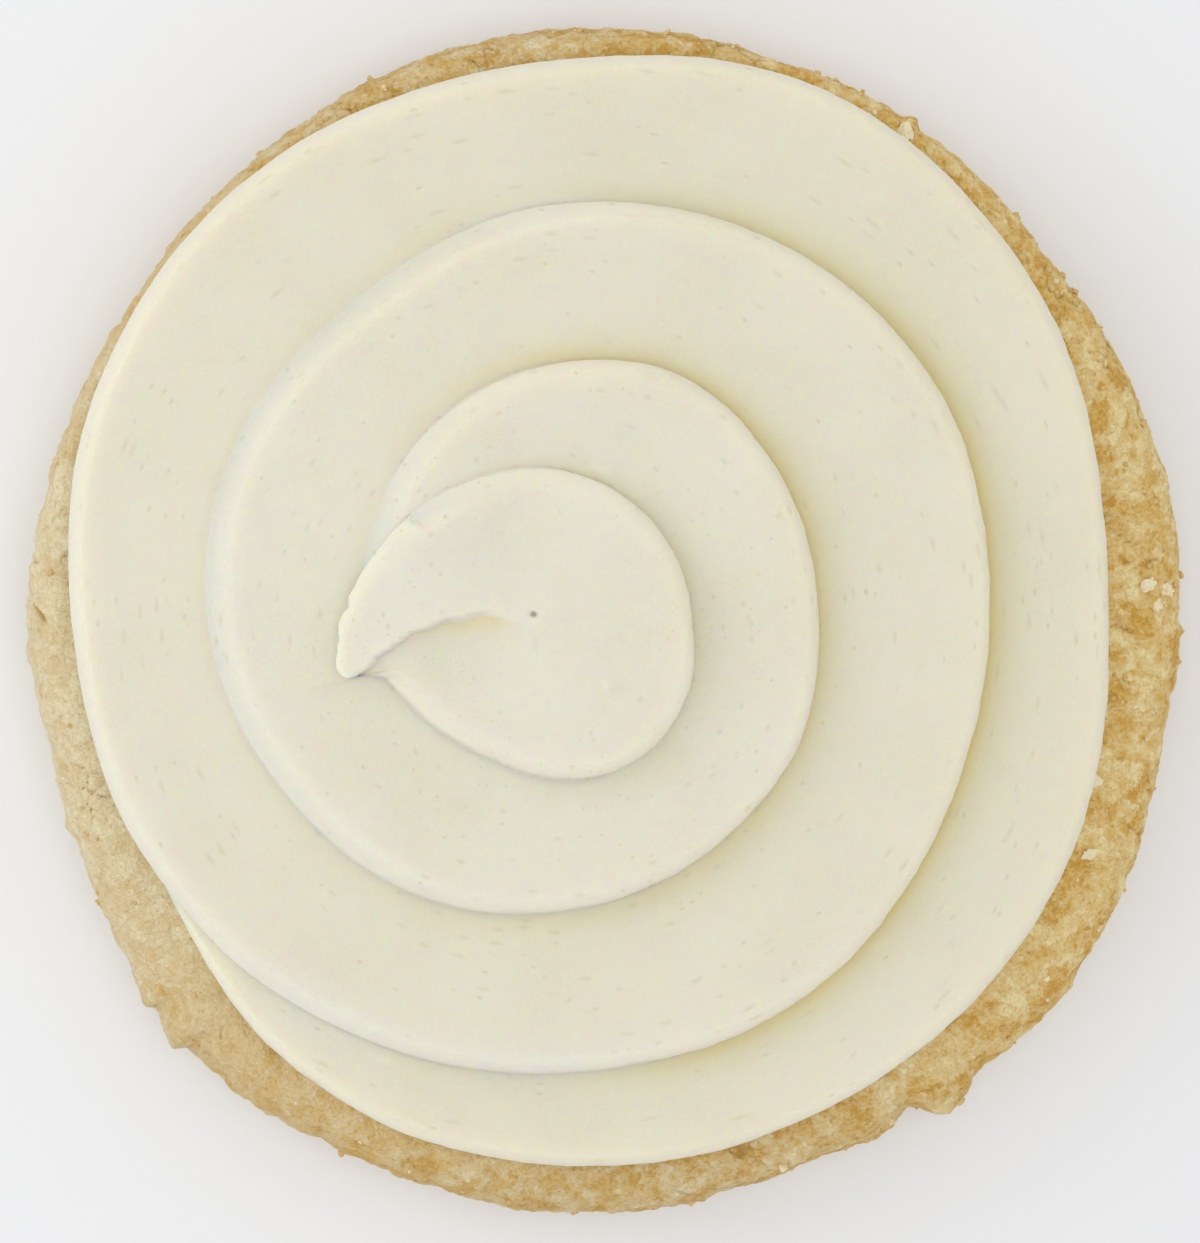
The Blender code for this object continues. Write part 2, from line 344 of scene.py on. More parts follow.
def hollow_depth(x, y):
    """Depth of the hollow that the tear leaves open."""
    across = (x - HOLLOW_AT[0]) / HOLLOW_SIZE[0]
    along = (y - HOLLOW_AT[1]) / HOLLOW_SIZE[1]
    return HOLLOW_DEPTH * np.exp(-(across**2) - along**2)


# %% [markdown]
# ## From sections to a skin
#
# A swirl like this is a loft: a section at each step of the piping, joined to the section before. The
# number of steps is set by what the eye sees, which is the fine chatter that a nozzle leaves along the
# lips. Each section is a row of corners, and the rows are joined by faces. Where the ribbon starts and
# where it pinches out, corners run together, so the skin leaves the doubled ones out and needs no welding
# afterwards.

# %% Corners and skins
COLUMNS = 720
STEP = FULL_TURN / COLUMNS
CAP_COLUMN = round(CAP_PIPED / STEP)
END_COLUMN = round(END_PIPED / STEP)
TUCK_ROWS = 3
ROUND_ROWS = 8
BAND_ROWS = 13
SHARP_FROM = 55.0
OUTER_RINGS = 16
INNER_RINGS = 32


class Corners:
    """Corner points counted from the swirl's middle, in millimetres, added a grid at a time."""

    def __init__(self):
        self.points = np.empty((0, 3))
        self.painted_shadings = np.empty(0)

    def add(self, bearing, reach, height, fold=0.0):
        """Add a grid of corners, with the painted shading number of each, and return their numbers in the
        same grid.
        """
        x, y = on_plan(bearing, reach)
        x, y, height, fold = np.broadcast_arrays(x, y, height, fold)
        numbers = len(self.points) + np.arange(x.size).reshape(x.shape)
        fresh = np.stack((x.ravel(), y.ravel(), height.ravel()), axis=1)
        self.points = np.concatenate((self.points, fresh))
        self.painted_shadings = np.concatenate((self.painted_shadings, fold.ravel()))
        return numbers


def skin(grid):
    """Faces between the neighbours in a grid of corner numbers."""
    faces = []
    for first, second in zip(grid[:-1].tolist(), grid[1:].tolist()):
        for k in range(len(first) - 1):
            corners = dict.fromkeys((first[k], first[k + 1], second[k + 1], second[k]))
            if len(corners) > 2:
                faces.append(tuple(corners))
    return faces


def make_mesh(name, corners, faces):
    """A smooth shaded object from corners in millimetres, without the corners that no face uses."""
    used = np.unique(np.concatenate([np.array(face) for face in faces]))
    place = np.full(len(corners.points), -1)
    place[used] = np.arange(len(used))
    shifted = (corners.points[used] + (SWIRL_X, SWIRL_Y, 0.0)) * MM
    data = bpy.data.meshes.new(name)
    data.from_pydata(shifted.tolist(), [], [place[list(face)].tolist() for face in faces])
    mesh = bmesh.new()
    mesh.from_mesh(data)
    bmesh.ops.recalc_face_normals(mesh, faces=mesh.faces)
    mesh.to_mesh(data)
    mesh.free()
    data.shade_smooth()
    data.set_sharp_from_angle(angle=math.radians(SHARP_FROM))
    keep(data, "fold", corners.painted_shadings[used])
    piece = bpy.data.objects.new(name, data)
    bpy.context.scene.collection.objects.link(piece)
    return piece


def keep(data, name, values):
    """Keep a number for each corner with the mesh, so that a finish can read it."""
    data.attributes.new(name, "FLOAT", "POINT").data.foreach_set("value", values)


def read_surface(piece):
    """Corner points in millimetres from the swirl's middle, and the way that the surface faces there."""
    count = len(piece.data.vertices)
    points = np.empty(count * 3)
    facing = np.empty(count * 3)
    piece.data.vertices.foreach_get("co", points)
    piece.data.vertices.foreach_get("normal", facing)
    return points.reshape(-1, 3) / MM - (SWIRL_X, SWIRL_Y, 0.0), facing.reshape(-1, 3)


def write_surface(piece, points):
    """Move the corners of a piece to these points."""
    moved = (points + (SWIRL_X, SWIRL_Y, 0.0)) * MM
    piece.data.vertices.foreach_set("co", moved.ravel())
    piece.data.update()


def triangles(piece):
    """How many triangles the piece comes to."""
    return sum(len(face.vertices) - 2 for face in piece.data.polygons)


# %% [markdown]
# ## The lip and the top of each turn
#
# Seen in section, a lip starts at its foot, tucks out to a bulge and rolls over to a flat crown: two
# quarter ellipses, or one gentle slope where the lip is soft. The nozzle's edge and the spatula leave it
# slightly ragged, so a little noise pushes the section in and out. From the crown the top sinks to the
# foot of the next lip.

# %% Lip sections and bands
LIP_BULGE = 0.4
SOFT_BULGE = 0.06
HANGS_OUT = (-0.1, 0.3)
CHATTER = ((0.9, 0.07), (2.6, 0.10), (9.0, 0.16))
TIP_CHATTER = (0.85, 0.46)
TIP_FROM = (1392.0, 1408.0)
CALM_SIDE = 150.0
CALM = 0.35
QUIET = (0.2, 0.8)
SOFT_QUIET = 0.7
SAG_BLEND = 0.6


def chatter(piped, height):
    """How far the lip's edge strays in and out here, with waves of several lengths along the ribbon."""
    x, y = on_plan(START_BEARING + piped, ribbon_reach(piped))
    line = np.stack((x.ravel(), y.ravel(), np.ravel(height)), axis=1)
    calm = blend(1.0, CALM, toward(START_BEARING + piped, CALM_SIDE, 1.0))
    stray = np.zeros(x.size)
    for seed, (length, depth) in enumerate(CHATTER):
        stray += depth * lumps(line, length, seed + 1)
    length, depth = TIP_CHATTER
    at_tip = depth * smooth_step(piped, *TIP_FROM)
    return calm * stray.reshape(x.shape) + at_tip * lumps(line, length, 9).reshape(x.shape)


def lip_section(piped):
    """Reach and height from the lip's foot up round its bulge to its crown, a column for each place."""
    piped = piped[:, None]
    edge = edge_reach(piped)
    inset = lip_round(piped)
    tuck = edge - foot_reach(piped)
    foot = foot_height(piped)
    crown_reach = edge - inset
    x, y = on_plan(START_BEARING + piped, crown_reach)
    last_turn = piped > CAP_PIPED
    crown = crown_height(piped) + np.where(last_turn, sheet_rise(x, y), 0.0)
    hangs = np.where(last_turn, sag(x, crown_reach), 0.0)
    soft = softness(piped) * (1.0 - smooth_step(tuck, *HANGS_OUT))
    bulge = blend(foot, crown - hangs, blend(LIP_BULGE, SOFT_BULGE, soft))
    crown = crown - hangs
    rise = np.pi / 2.0 * np.arange(TUCK_ROWS) / TUCK_ROWS
    roll = np.pi / 2.0 * np.arange(ROUND_ROWS + 1) / ROUND_ROWS
    below = edge - tuck * (1.0 - np.sin(rise))
    above = edge - inset * (1.0 - np.cos(roll))
    rising = blend(foot, bulge, 1.0 - np.cos(rise))
    rolled = blend(np.sin(roll), smooth_step(1.0 - np.cos(roll), 0.0, 1.0), soft)
    heights = np.concatenate((rising, blend(bulge, crown, rolled)), axis=1)
    reaches = np.concatenate((below, above), axis=1)
    share = np.concatenate((np.sin(rise), np.cos(roll)))
    quiet = smooth_step(piped, 0.0, START_RAMP) * smooth_step(inset, *QUIET) * (1.0 - SOFT_QUIET * soft)
    return reaches + share * quiet * chatter(np.broadcast_to(piped, heights.shape), heights), heights


def band_section(piped):
    """Reach and height of the rows strictly between a crown and the next lip's foot."""
    piped = piped[:, None]
    part = np.arange(1, BAND_ROWS) / BAND_ROWS
    crown_reach = edge_reach(piped) - lip_round(piped)
    sagging = blend(part, smooth_step(part, 0.0, 1.0), SAG_BLEND)
    heights = blend(crown_height(piped), foot_height(piped + FULL_TURN), sagging)
    return blend(crown_reach, foot_reach(piped + FULL_TURN), part), heights


# %% [markdown]
# ## Painted shade in folds, painted highlight on crests
#
# Shade and light are partly painted into the icing's colour. The fold under each lip is painted yellower,
# a painted shade that is strongest on the right, where the lips cast their shadows, and the crests of the
# lips are painted whiter, a painted highlight that is strongest on the lit left. So each corner also gets
# a number: 1 in the tightest painted shade, 0 on plain icing, and below 0 for a painted highlight on a
# crest. Each turn has its own shaded side and strength. The finish turns this number into colour.

# %% Painted shade and highlight at each corner
# Painted shade under the lips: the shaded side of each turn, the tight and the wide part, and strengths.
PAINTED_SHADE_SIDES = (0.0, -22.0, 30.0, 45.0)
PAINTED_SHADE_TIGHT = (0.68, 0.55)
PAINTED_SHADE_WIDE = (0.80, 2.3)
PAINTED_SHADE_LEAST = 0.22
TIGHT_POWER = 2.2
WIDE_POWER = 0.7
PAINTED_SHADE_BY_TURN = (0.0, 1.0, 0.75, 0.4)
# Painted highlight on the crests: the lit side, level and swing, width, and strength on each turn.
HIGHLIGHT_SIDE = 228.0
CREST_LEVEL = 0.38
CREST_SWING = 0.34
CREST_WIDTH = (1.4, 6.0)
CREST_WIDE_SIDE = 135.0
CREST_WIDE_POWER = 3.0
CREST_BY_TURN = (0.45, 1.0, 0.75, 0.6)
# Painted shade in the hollow below the torn edge, and a painted highlight on the tail's sheet.
TEAR_PAINTED_SHADE = (0.55, 2.2)
SHEET_PAINTED_HIGHLIGHT = 0.2


def painted_highlight_strength(bearing, piped):
    """How strong the painted highlight on the crests is here."""
    swing = 2.0 * toward(bearing, HIGHLIGHT_SIDE, 1.0) - 1.0
    return (CREST_LEVEL + CREST_SWING * swing) * by_turn(CREST_BY_TURN, piped)


def painted_shade_strength(bearing, piped):
    """How strong the painted shade in the tight crease under this lip is."""
    tight = toward(bearing, by_turn(PAINTED_SHADE_SIDES, piped), TIGHT_POWER)
    return blend(PAINTED_SHADE_LEAST, 1.0, tight) * by_turn(PAINTED_SHADE_BY_TURN, piped)


def painted_shading_across(bearing, piped, from_fold, from_crest):
    """The painted shading number at these distances from the next lip's foot and from this turn's crest."""
    tight = PAINTED_SHADE_TIGHT[0] * painted_shade_strength(bearing, piped + FULL_TURN) * np.exp(-from_fold / PAINTED_SHADE_TIGHT[1])
    side = by_turn(PAINTED_SHADE_SIDES, piped + FULL_TURN)
    wide = PAINTED_SHADE_WIDE[0] * toward(bearing, side, WIDE_POWER) * np.exp(-from_fold / PAINTED_SHADE_WIDE[1])
    wide = wide * by_turn(PAINTED_SHADE_BY_TURN, piped + FULL_TURN)
    width = blend(*CREST_WIDTH, toward(bearing, CREST_WIDE_SIDE, CREST_WIDE_POWER))
    return tight + wide - painted_highlight_strength(bearing, piped) * np.exp(-from_crest / width)


# %% [markdown]
# ## Joining the ribbon up
#
# Now the grids share corners: the crown of one turn is the outer row of its band, and the band's inner row
# is the foot of the next turn's lip. The middle is a cap of rings inside the last turn's crown, and the
# flat underside is one many-sided face, hidden in the biscuit.

# %% The icing's mesh
LEVEL_REACH = 14.0
INNER_REACH = 11.5
INNER_SHARE = 0.8
TAIL_NEARS = (1350.0, 1410.0)
TAIL_LEAVES = (1063.0, 1083.0)
LEVELS_OFF = (0.1, 1.0)
HOLLOW_FADES = (0.75, 1.0)
TEAR_DARKENS = (1.5, 6.0)


def lay_lips(corners):
    """All lips, a column for each step along the ribbon."""
    piped = (np.arange(END_COLUMN + 1) * STEP)[:, None]
    reaches, heights = lip_section(piped[:, 0])
    bearing = START_BEARING + piped
    up = smooth_step(np.arange(TUCK_ROWS + ROUND_ROWS + 1), 0.0, TUCK_ROWS + 1.0)
    foot_shade = painted_shade_strength(bearing, piped)
    # Painted shade at the lip's foot, turning into a painted highlight towards its crest.
    return corners.add(bearing, reaches, heights, blend(foot_shade, -painted_highlight_strength(bearing, piped), up))


def lay_bands(corners):
    """The rows between each crown and the next foot."""
    piped = np.arange(CAP_COLUMN + 1) * STEP
    bearing = START_BEARING + piped[:, None]
    reaches, heights = band_section(piped)
    from_fold = reaches - foot_reach(piped + FULL_TURN)[:, None]
    from_crest = (edge_reach(piped) - lip_round(piped))[:, None] - reaches
    # Painted shade near the next lip's foot and painted highlight near this turn's crest.
    fold = painted_shading_across(bearing, piped[:, None], from_fold, from_crest)
    return corners.add(bearing, reaches, heights, fold)


def lay_middle(corners):
    """Rings from the last turn's crown in to the middle."""
    piped = (np.arange(CAP_COLUMN, END_COLUMN) * STEP)[:, None]
    crown_reach = edge_reach(piped) - lip_round(piped)
    near_tail = smooth_step(piped, *TAIL_NEARS) + 1.0 - smooth_step(piped, *TAIL_LEAVES)
    inner = blend(INNER_SHARE * crown_reach, INNER_REACH, near_tail)
    outer_rings = blend(crown_reach, inner, np.arange(1, OUTER_RINGS + 1) / OUTER_RINGS)
    reach = np.concatenate((outer_rings, inner * (1.0 - np.arange(1, INNER_RINGS) / INNER_RINGS)), axis=1)
    bearing = START_BEARING + piped
    x, y = on_plan(bearing, reach)
    level_reach = blend(crown_reach, LEVEL_REACH, near_tail)
    inward = reach / level_reach
    height = blend(CREST_HEIGHT, crown_height(piped), smooth_step(inward, *LEVELS_OFF))
    height += sheet_rise(x, y) - sag(x, reach)
    height -= hollow_depth(x, y) * (1.0 - smooth_step(inward, *HOLLOW_FADES))
    side = tear_side(x, y)
    # Painted shade in the hollow below the torn edge; above it, a painted highlight on the tail's sheet.
    torn = TEAR_PAINTED_SHADE[0] * np.exp(np.minimum(side, 0.0) / TEAR_PAINTED_SHADE[1]) * (side < 0.0)
    torn = torn * smooth_step(-x, *TEAR_DARKENS)
    fold = torn + painted_shading_across(bearing, piped, np.inf, np.maximum(level_reach - reach, 0.0))
    fold = fold - SHEET_PAINTED_HIGHLIGHT * sheet_share(x) * (side > 0.0)
    return corners.add(bearing, reach, height, np.clip(fold, -1.0, 1.0))


def lay_icing():
    """The whole ribbon as one closed mesh."""
    corners = Corners()
    lips = lay_lips(corners)
    lips[0] = lips[COLUMNS, 0]
    pinch = lips[CAP_COLUMN, -1]
    lips[END_COLUMN] = pinch

    inner = lips[COLUMNS : COLUMNS + CAP_COLUMN + 1, :1]
    bands = np.concatenate((lips[: CAP_COLUMN + 1, -1:], lay_bands(corners), inner), axis=1)
    bands[0] = lips[0, 0]
    bands[CAP_COLUMN] = pinch

    rings = lay_middle(corners)
    centre = corners.add(np.zeros(1), np.zeros(1), np.full(1, CREST_HEIGHT))
    hub = np.tile(centre, (COLUMNS, 1))
    spokes = np.concatenate((lips[CAP_COLUMN:END_COLUMN, -1:], rings, hub), axis=1)
    spokes = np.concatenate((spokes, spokes[:1]))

    faces = skin(lips) + skin(bands) + skin(spokes)
    faces.append(tuple(lips[:COLUMNS, 0].tolist()))
    return make_mesh("icing_swirl", corners, faces)


icing = lay_icing()
print("icing:", triangles(icing), "triangles")

# %% [markdown]
# ## Marks in the icing
#
# Close up, the icing is not perfect: it swells gently, the spatula leaves faint drag lines along the
# ribbon, and here and there sit a lump of sugar, a dent or a scuff. The lumps that show are listed one
# by one, as a baker's slip would be. All of it moves the corners a little along the direction that the
# surface faces. A few broad patches are painted yellower or paler than the rest: they change the painted
# shading number and not the shape.

# %% The icing's relief
DRAG_LENGTH = 24.0
DRAG_WIDTH = 1.7
DRAG_DEPTH = 0.035
DRAG_ROUND = 30.0
DRAG_FROM = (8.0, 16.0)
TOP_ONLY = (0.1, 0.7)
SWELLS = ((13.0, 0.16), (4.5, 0.05), (1.6, 0.02))
# Each mark: x and y from the swirl's middle, bearing of its long axis, length, width, and height or depth.
MARKS = (
    (-2.2, 0.7, 0.0, 0.3, 0.3, -0.4),
    (-2.0, -2.0, 100.0, 0.7, 0.2, -0.2),
    (10.1, 24.3, 150.0, 0.9, 0.6, 0.16),
    (3.5, 12.4, 160.0, 0.8, 0.5, 0.30),
    (3.8, -5.2, 90.0, 0.45, 0.35, 0.18),
    (9.4, -11.8, 40.0, 0.6, 0.5, 0.14),
    (11.2, -20.8, 30.0, 0.7, 0.5, 0.35),
    (-14.2, -36.8, 160.0, 0.9, 0.5, 0.25),
    (-5.9, 8.8, 20.0, 0.9, 0.6, 0.10),
    (29.2, -20.2, 60.0, 1.6, 0.5, -0.22),
    (-24.0, -1.6, 70.0, 1.1, 0.4, -0.16),
    (7.7, 20.0, 155.0, 0.7, 0.35, -0.20),
    (5.1, 37.9, 170.0, 0.7, 0.4, -0.16),
)
# Each painted patch: x and y, bearing, length, width, and how much painted shade it adds. Below 0 it is
# paler.
PAINTED_SHADING_PATCHES = (
    (-16.4, -4.4, 0.0, 0.6, 0.6, 0.3),
    (-11.5, -12.8, -42.0, 7.0, 3.2, 0.12),
    (-20.2, -12.8, -58.0, 7.0, 3.0, 0.09),
    (-20.2, -33.5, -31.0, 7.0, 2.5, -0.45),
    (-1.0, -37.5, 0.0, 8.0, 3.0, -0.30),
    (27.0, -36.0, 36.0, 7.0, 2.5, -0.30),
    (2.2, 33.0, 0.0, 8.0, 3.0, -0.25),
    (2.5, 16.5, 0.0, 6.0, 2.5, -0.30),
    (14.5, -13.0, 50.0, 5.0, 2.5, -0.25),
)


def drag_lines(points):
    """Long narrow waves that follow the swirl."""
    reach = np.maximum(np.hypot(points[:, 0], points[:, 1]), 1.0)
    round_size = DRAG_ROUND / DRAG_LENGTH
    ring = points[:, :2] / reach[:, None] * round_size
    mapped = np.column_stack((ring, reach / DRAG_WIDTH))
    return lumps(mapped, 1.0, seed=21) * smooth_step(reach, *DRAG_FROM)


def stretched(points, x, y, bearing, length, width):
    """1 at this place on the plan, fading over a length one way and a width the other."""
    cos, sin = on_plan(bearing, 1.0)
    along = (points[:, 0] - x) * cos + (points[:, 1] - y) * sin
    across = (points[:, 1] - y) * cos - (points[:, 0] - x) * sin
    return np.exp(-((along / length) ** 2) - (across / width) ** 2)


def mark_height(points):
    """What the marks add, in millimetres."""
    total = np.zeros(len(points))
    for *place, height in MARKS:
        total += height * stretched(points, *place)
    return total


def work_icing():
    """Give the smooth ribbon its swells, drag lines and marks."""
    points, facing = read_surface(icing)
    upward = smooth_step(facing[:, 2], *TOP_ONLY)
    relief = DRAG_DEPTH * drag_lines(points) * upward
    for seed, (size, depth) in enumerate(SWELLS):
        relief += depth * lumps(points, size, 11 + seed) * blend(0.5, 1.0, upward)
    relief += mark_height(points) * upward
    free = smooth_step(points[:, 2], SEAT_HEIGHT - SINK, SEAT_HEIGHT + 1.0)
    write_surface(icing, points + facing * (relief * free)[:, None])
    return relief


def patch_painted_shading():
    """Paint the icing a little yellower or paler in patches, through the painted shading number."""
    points, _ = read_surface(icing)
    numbers = icing.data.attributes["fold"].data
    fold = np.empty(len(points))
    numbers.foreach_get("value", fold)
    for *place, change in PAINTED_SHADING_PATCHES:
        fold += change * stretched(points, *place)
    numbers.foreach_set("value", np.clip(fold, -1.0, 1.0))
    return fold


relief = work_icing()
print("icing relief from %.2f to %.2f mm" % (relief.min(), relief.max()))
patched_shading = patch_painted_shading()
print("moisture from %.2f to %.2f" % (patched_shading.min(), patched_shading.max()))

# %% [markdown]
# ## The biscuit's outline
#
# The biscuit is a disc that spread unevenly in the oven. Its rim is a circle about a middle of its own,
# with a few long waves, plus teeth where crumb broke away and left a sharp step. The shoulder rolls over
# from the flat seat below the icing to the widest line low on the side, and the side tucks in to the base.

# %% The rim and its teeth
BISCUIT_MIDDLE = (5.0, -1.2)
BISCUIT_RADIUS = 49.9
WIDEST_HEIGHT = 5.5
BASE_INSET = 1.6
BASE_POWER = 2.2
BASE_SPACING = 0.18
TEETH_FADE = 0.8
SHOULDER_POWER = 0.83
LEAST_SHOULDER = 1.2
SEAT_MARGIN = 0.5
# How many waves to a round, how far each stands out, and the bearing of one crest.
RIM_WAVES = (
    (1, 0.5, -26.0),
    (2, 0.7, 86.0),
    (3, 0.3, -21.0),
    (4, 0.2, -18.0),
    (5, 0.3, 25.0),
    (7, 0.25, 17.0),
    (8, 0.25, 5.0),
)
# Bearing of each tooth's tip, how far it stands out, and how many degrees it takes to rise and to fall.
TEETH = (
    (-51.4, 1.6, 1.8, 3.6),
    (-54.0, -1.0, 2.4, 1.6),
    (-59.0, 0.5, 0.9, 2.2),
    (-130.8, 0.9, 3.5, 1.0),
    (-135.9, 0.9, 5.0, 0.9),
    (-156.0, 0.5, 2.5, 1.2),
    (53.4, 0.8, 0.9, 0.8),
    (-2.0, 0.3, 4.0, 1.0),
)
TOOTH_POWER = 0.8
# Ragged crumb along the whole rim: length of each rag and how far it stands out.
RAGS = ((3.4, 0.20), (1.3, 0.12), (0.6, 0.04))


def rim_reach(bearing):
    """Reach of the biscuit's rim from the swirl's middle."""
    east, north = on_plan(bearing, 1.0)
    across = BISCUIT_MIDDLE[0] * east + BISCUIT_MIDDLE[1] * north
    apart = math.hypot(*BISCUIT_MIDDLE)
    reach = across + np.sqrt(across**2 - apart**2 + BISCUIT_RADIUS**2)
    for count, height, crest in RIM_WAVES:
        reach = reach + height * np.cos(count * np.radians(bearing - crest))
    return reach


def teeth(bearing):
    """What the teeth and the finer ragged crumb add to the rim's reach."""
    x, y = on_plan(bearing, BISCUIT_RADIUS)
    ring = np.stack((x, y, np.zeros_like(x)), axis=1)
    total = np.zeros(len(ring))
    for seed, (size, depth) in enumerate(RAGS):
        total += depth * (0.5 - 2.0 * np.abs(lumps(ring, size, 71 + seed)))
    for tip, height, rise, fall in TEETH:
        away = (bearing - tip + 180.0) % FULL_TURN - 180.0
        slope = np.where(away < 0.0, 1.0 + away / rise, 1.0 - away / fall)
        total += height * np.clip(slope, 0.0, 1.0) ** TOOTH_POWER
    return total


# %% [markdown]
# ## The biscuit's surface
#
# Rows of corners run from under the icing, over the shoulder, down the side and across the base. Crumb is
# layered detail: broad lumps, then plates about two millimetres across with cracks between them, then
# grains. The depth of the small detail is kept with the mesh as a number, so that the finish can paint
# shade into the hollows: they are painted darker and browner than the high spots.

# %% The biscuit's mesh
RIM_COLUMNS = 1400
SEAT_ROWS = 5
SHOULDER_ROWS = 30
SIDE_ROWS = 18
BASE_ROWS = 4
SEAT_SHELF = 2.2


def biscuit_section(bearing):
    """Reach and height from the seat over the shoulder and down to the base, a column a bearing."""
    piped = (bearing - START_BEARING) % FULL_TURN
    rim = rim_reach(bearing)[:, None]
    seat = np.minimum(ribbon_reach(piped)[:, None] + SEAT_MARGIN, rim - LEAST_SHOULDER)
    out = teeth(bearing)[:, None]
    shelf = np.arange(SEAT_ROWS) / SEAT_ROWS
    turn = np.pi / 2.0 * np.arange(SHOULDER_ROWS) / SHOULDER_ROWS
    down = np.arange(SIDE_ROWS + 1) / SIDE_ROWS
    seat_reach = seat - SEAT_SHELF * (1.0 - shelf)
    rolled = blend(seat, rim + out, np.sin(turn) ** SHOULDER_POWER)
    side = rim + out * (1.0 - smooth_step(down, 0.0, TEETH_FADE)) - BASE_INSET * down**BASE_POWER
    under = (rim - BASE_INSET) * (1.0 - BASE_SPACING * np.arange(1, BASE_ROWS + 1))
    heights = np.concatenate((
        np.full(SEAT_ROWS, SEAT_HEIGHT),
        blend(WIDEST_HEIGHT, SEAT_HEIGHT, np.cos(turn) ** SHOULDER_POWER),
        WIDEST_HEIGHT * (1.0 - down),
        np.zeros(BASE_ROWS),
    ))
    reaches = np.concatenate((seat_reach, rolled, side, under), axis=1)
    return reaches, np.broadcast_to(heights, reaches.shape)


def bake_biscuit():
    """The biscuit as a closed, still smooth mesh."""
    corners = Corners()
    bearing = START_BEARING + np.arange(RIM_COLUMNS) * FULL_TURN / RIM_COLUMNS
    reaches, heights = biscuit_section(bearing)
    grid = corners.add(bearing[:, None], reaches, heights)
    faces = skin(np.concatenate((grid, grid[:1])))
    faces.append(tuple(grid[:, 0].tolist()))
    faces.append(tuple(grid[:, -1].tolist()))
    return make_mesh("biscuit_round", corners, faces)


biscuit = bake_biscuit()
print("biscuit:", triangles(biscuit), "triangles")

# %% [markdown]
# ## Crags, cracks and grains
#
# The same surface is now pushed in and out. Plates and smaller chips of crumb lie at slightly different
# levels, cracks open between some of them, and a few cracks that stand out are listed one by one. Nothing
# may sink below the table or rise into the icing, so the relief fades out at the base and under the ribbon.

# %% The biscuit's relief
BROAD = ((8.0, 0.30), (3.2, 0.22))
PLATE_SIZE = 2.4
PLATE_STEP = 0.12
OPEN_PATCH = 5.0
OPENS = (0.12, 0.45)
CRACK_DEPTH = 0.22
CRACK_WIDTH = 0.07
CHIP_SIZE = 0.8
CHIP_STEP = 0.10
GRAINS = ((1.3, 0.08), (0.6, 0.09))
# A painted shadow of the icing on the crumb next to it at one side: how much, and how far out.
ICING_SHADOW = (0.5, 1.2)
ICING_SHADOW_SIDE = 0.0
FACES_UP = (0.2, 0.8)
FACES_DOWN = (0.5, 0.9)
FREED = (-1.2, 0.3)
STANDS_FROM = 1.2
BASE_RELIEF = 0.12
CRUMB_RANGE = 0.6
# Cracks that stand out: x and y from the swirl's middle, bearing of the crack, length, width and depth.
CRACKS = (
    (45.6, -0.4, 4.0, 1.4, 0.14, 0.26),
    (48.9, -1.4, -25.0, 0.9, 0.18, 0.30),
    (51.2, 4.4, 10.0, 0.7, 0.16, 0.28),
    (50.5, -19.0, -35.0, 1.5, 0.16, 0.24),
    (46.9, -10.0, 30.0, 1.0, 0.18, 0.26),
    (43.3, 13.6, -30.0, 0.8, 0.22, 0.30),
    (-42.9, 0.2, -50.0, 0.8, 0.18, 0.5),
    (-43.6, 4.6, -15.0, 0.5, 0.18, 0.4),
    (30.6, -37.4, 40.0, 1.0, 0.22, 0.5),
    (28.0, -39.4, 15.0, 0.9, 0.22, 0.5),
    (-36.0, -12.6, -60.0, 0.7, 0.20, 0.4),
)


def crag_biscuit():
    """Add the crumb's relief, and keep the small detail's depth and a cell tone with painted shadow."""
    points, facing = read_surface(biscuit)
    reach = np.hypot(points[:, 0], points[:, 1])
    broad = sum(depth * lumps(points, size, 41 + k) for k, (size, depth) in enumerate(BROAD))
    inside, level = plates(points, PLATE_SIZE, seed=3)
    chip_level = plates(points, CHIP_SIZE, seed=5)[1]
    open_here = smooth_step(lumps(points, OPEN_PATCH, 61), *OPENS)
    fine = PLATE_STEP * level - CRACK_DEPTH * (1.0 - smooth_step(inside, 0.0, CRACK_WIDTH)) * open_here
    fine += CHIP_STEP * chip_level
    fine += sum(depth * lumps(points, size, 51 + k) for k, (size, depth) in enumerate(GRAINS))
    for *place, depth in CRACKS:
        fine -= depth * stretched(points, *place)
    bearing = np.degrees(np.arctan2(points[:, 1], points[:, 0]))
    iced = ribbon_reach((bearing - START_BEARING) % FULL_TURN) - LIP_TUCK
    on_top = smooth_step(facing[:, 2], *FACES_UP)
    free = 1.0 - on_top * (1.0 - smooth_step(reach - iced, *FREED))
    standing = smooth_step(points[:, 2], 0.0, STANDS_FROM)
    below = smooth_step(-facing[:, 2], *FACES_DOWN)
    relief = (broad + fine) * free * standing
    moved = points + facing * relief[:, None]
    moved[:, 2] = np.where(below > 0.5, np.maximum(0.0, BASE_RELIEF * fine), np.maximum(moved[:, 2], 0.0))
    write_surface(biscuit, moved)
    keep(biscuit.data, "crumb", np.clip(0.5 + fine / CRUMB_RANGE, 0.0, 1.0))
    # A painted shadow of the icing darkens the cell tone on the crumb next to it, on the right.
    icing_shadow = ICING_SHADOW[0] * toward(bearing, ICING_SHADOW_SIDE, 1.0)
    icing_shadow = icing_shadow * np.exp(-np.maximum(reach - iced, 0.0) / ICING_SHADOW[1])
    keep(biscuit.data, "plate", np.clip(0.5 + level - icing_shadow, 0.0, 1.0))
    return relief


crags = crag_biscuit()
print("biscuit relief from %.2f to %.2f mm" % (crags.min(), crags.max()))

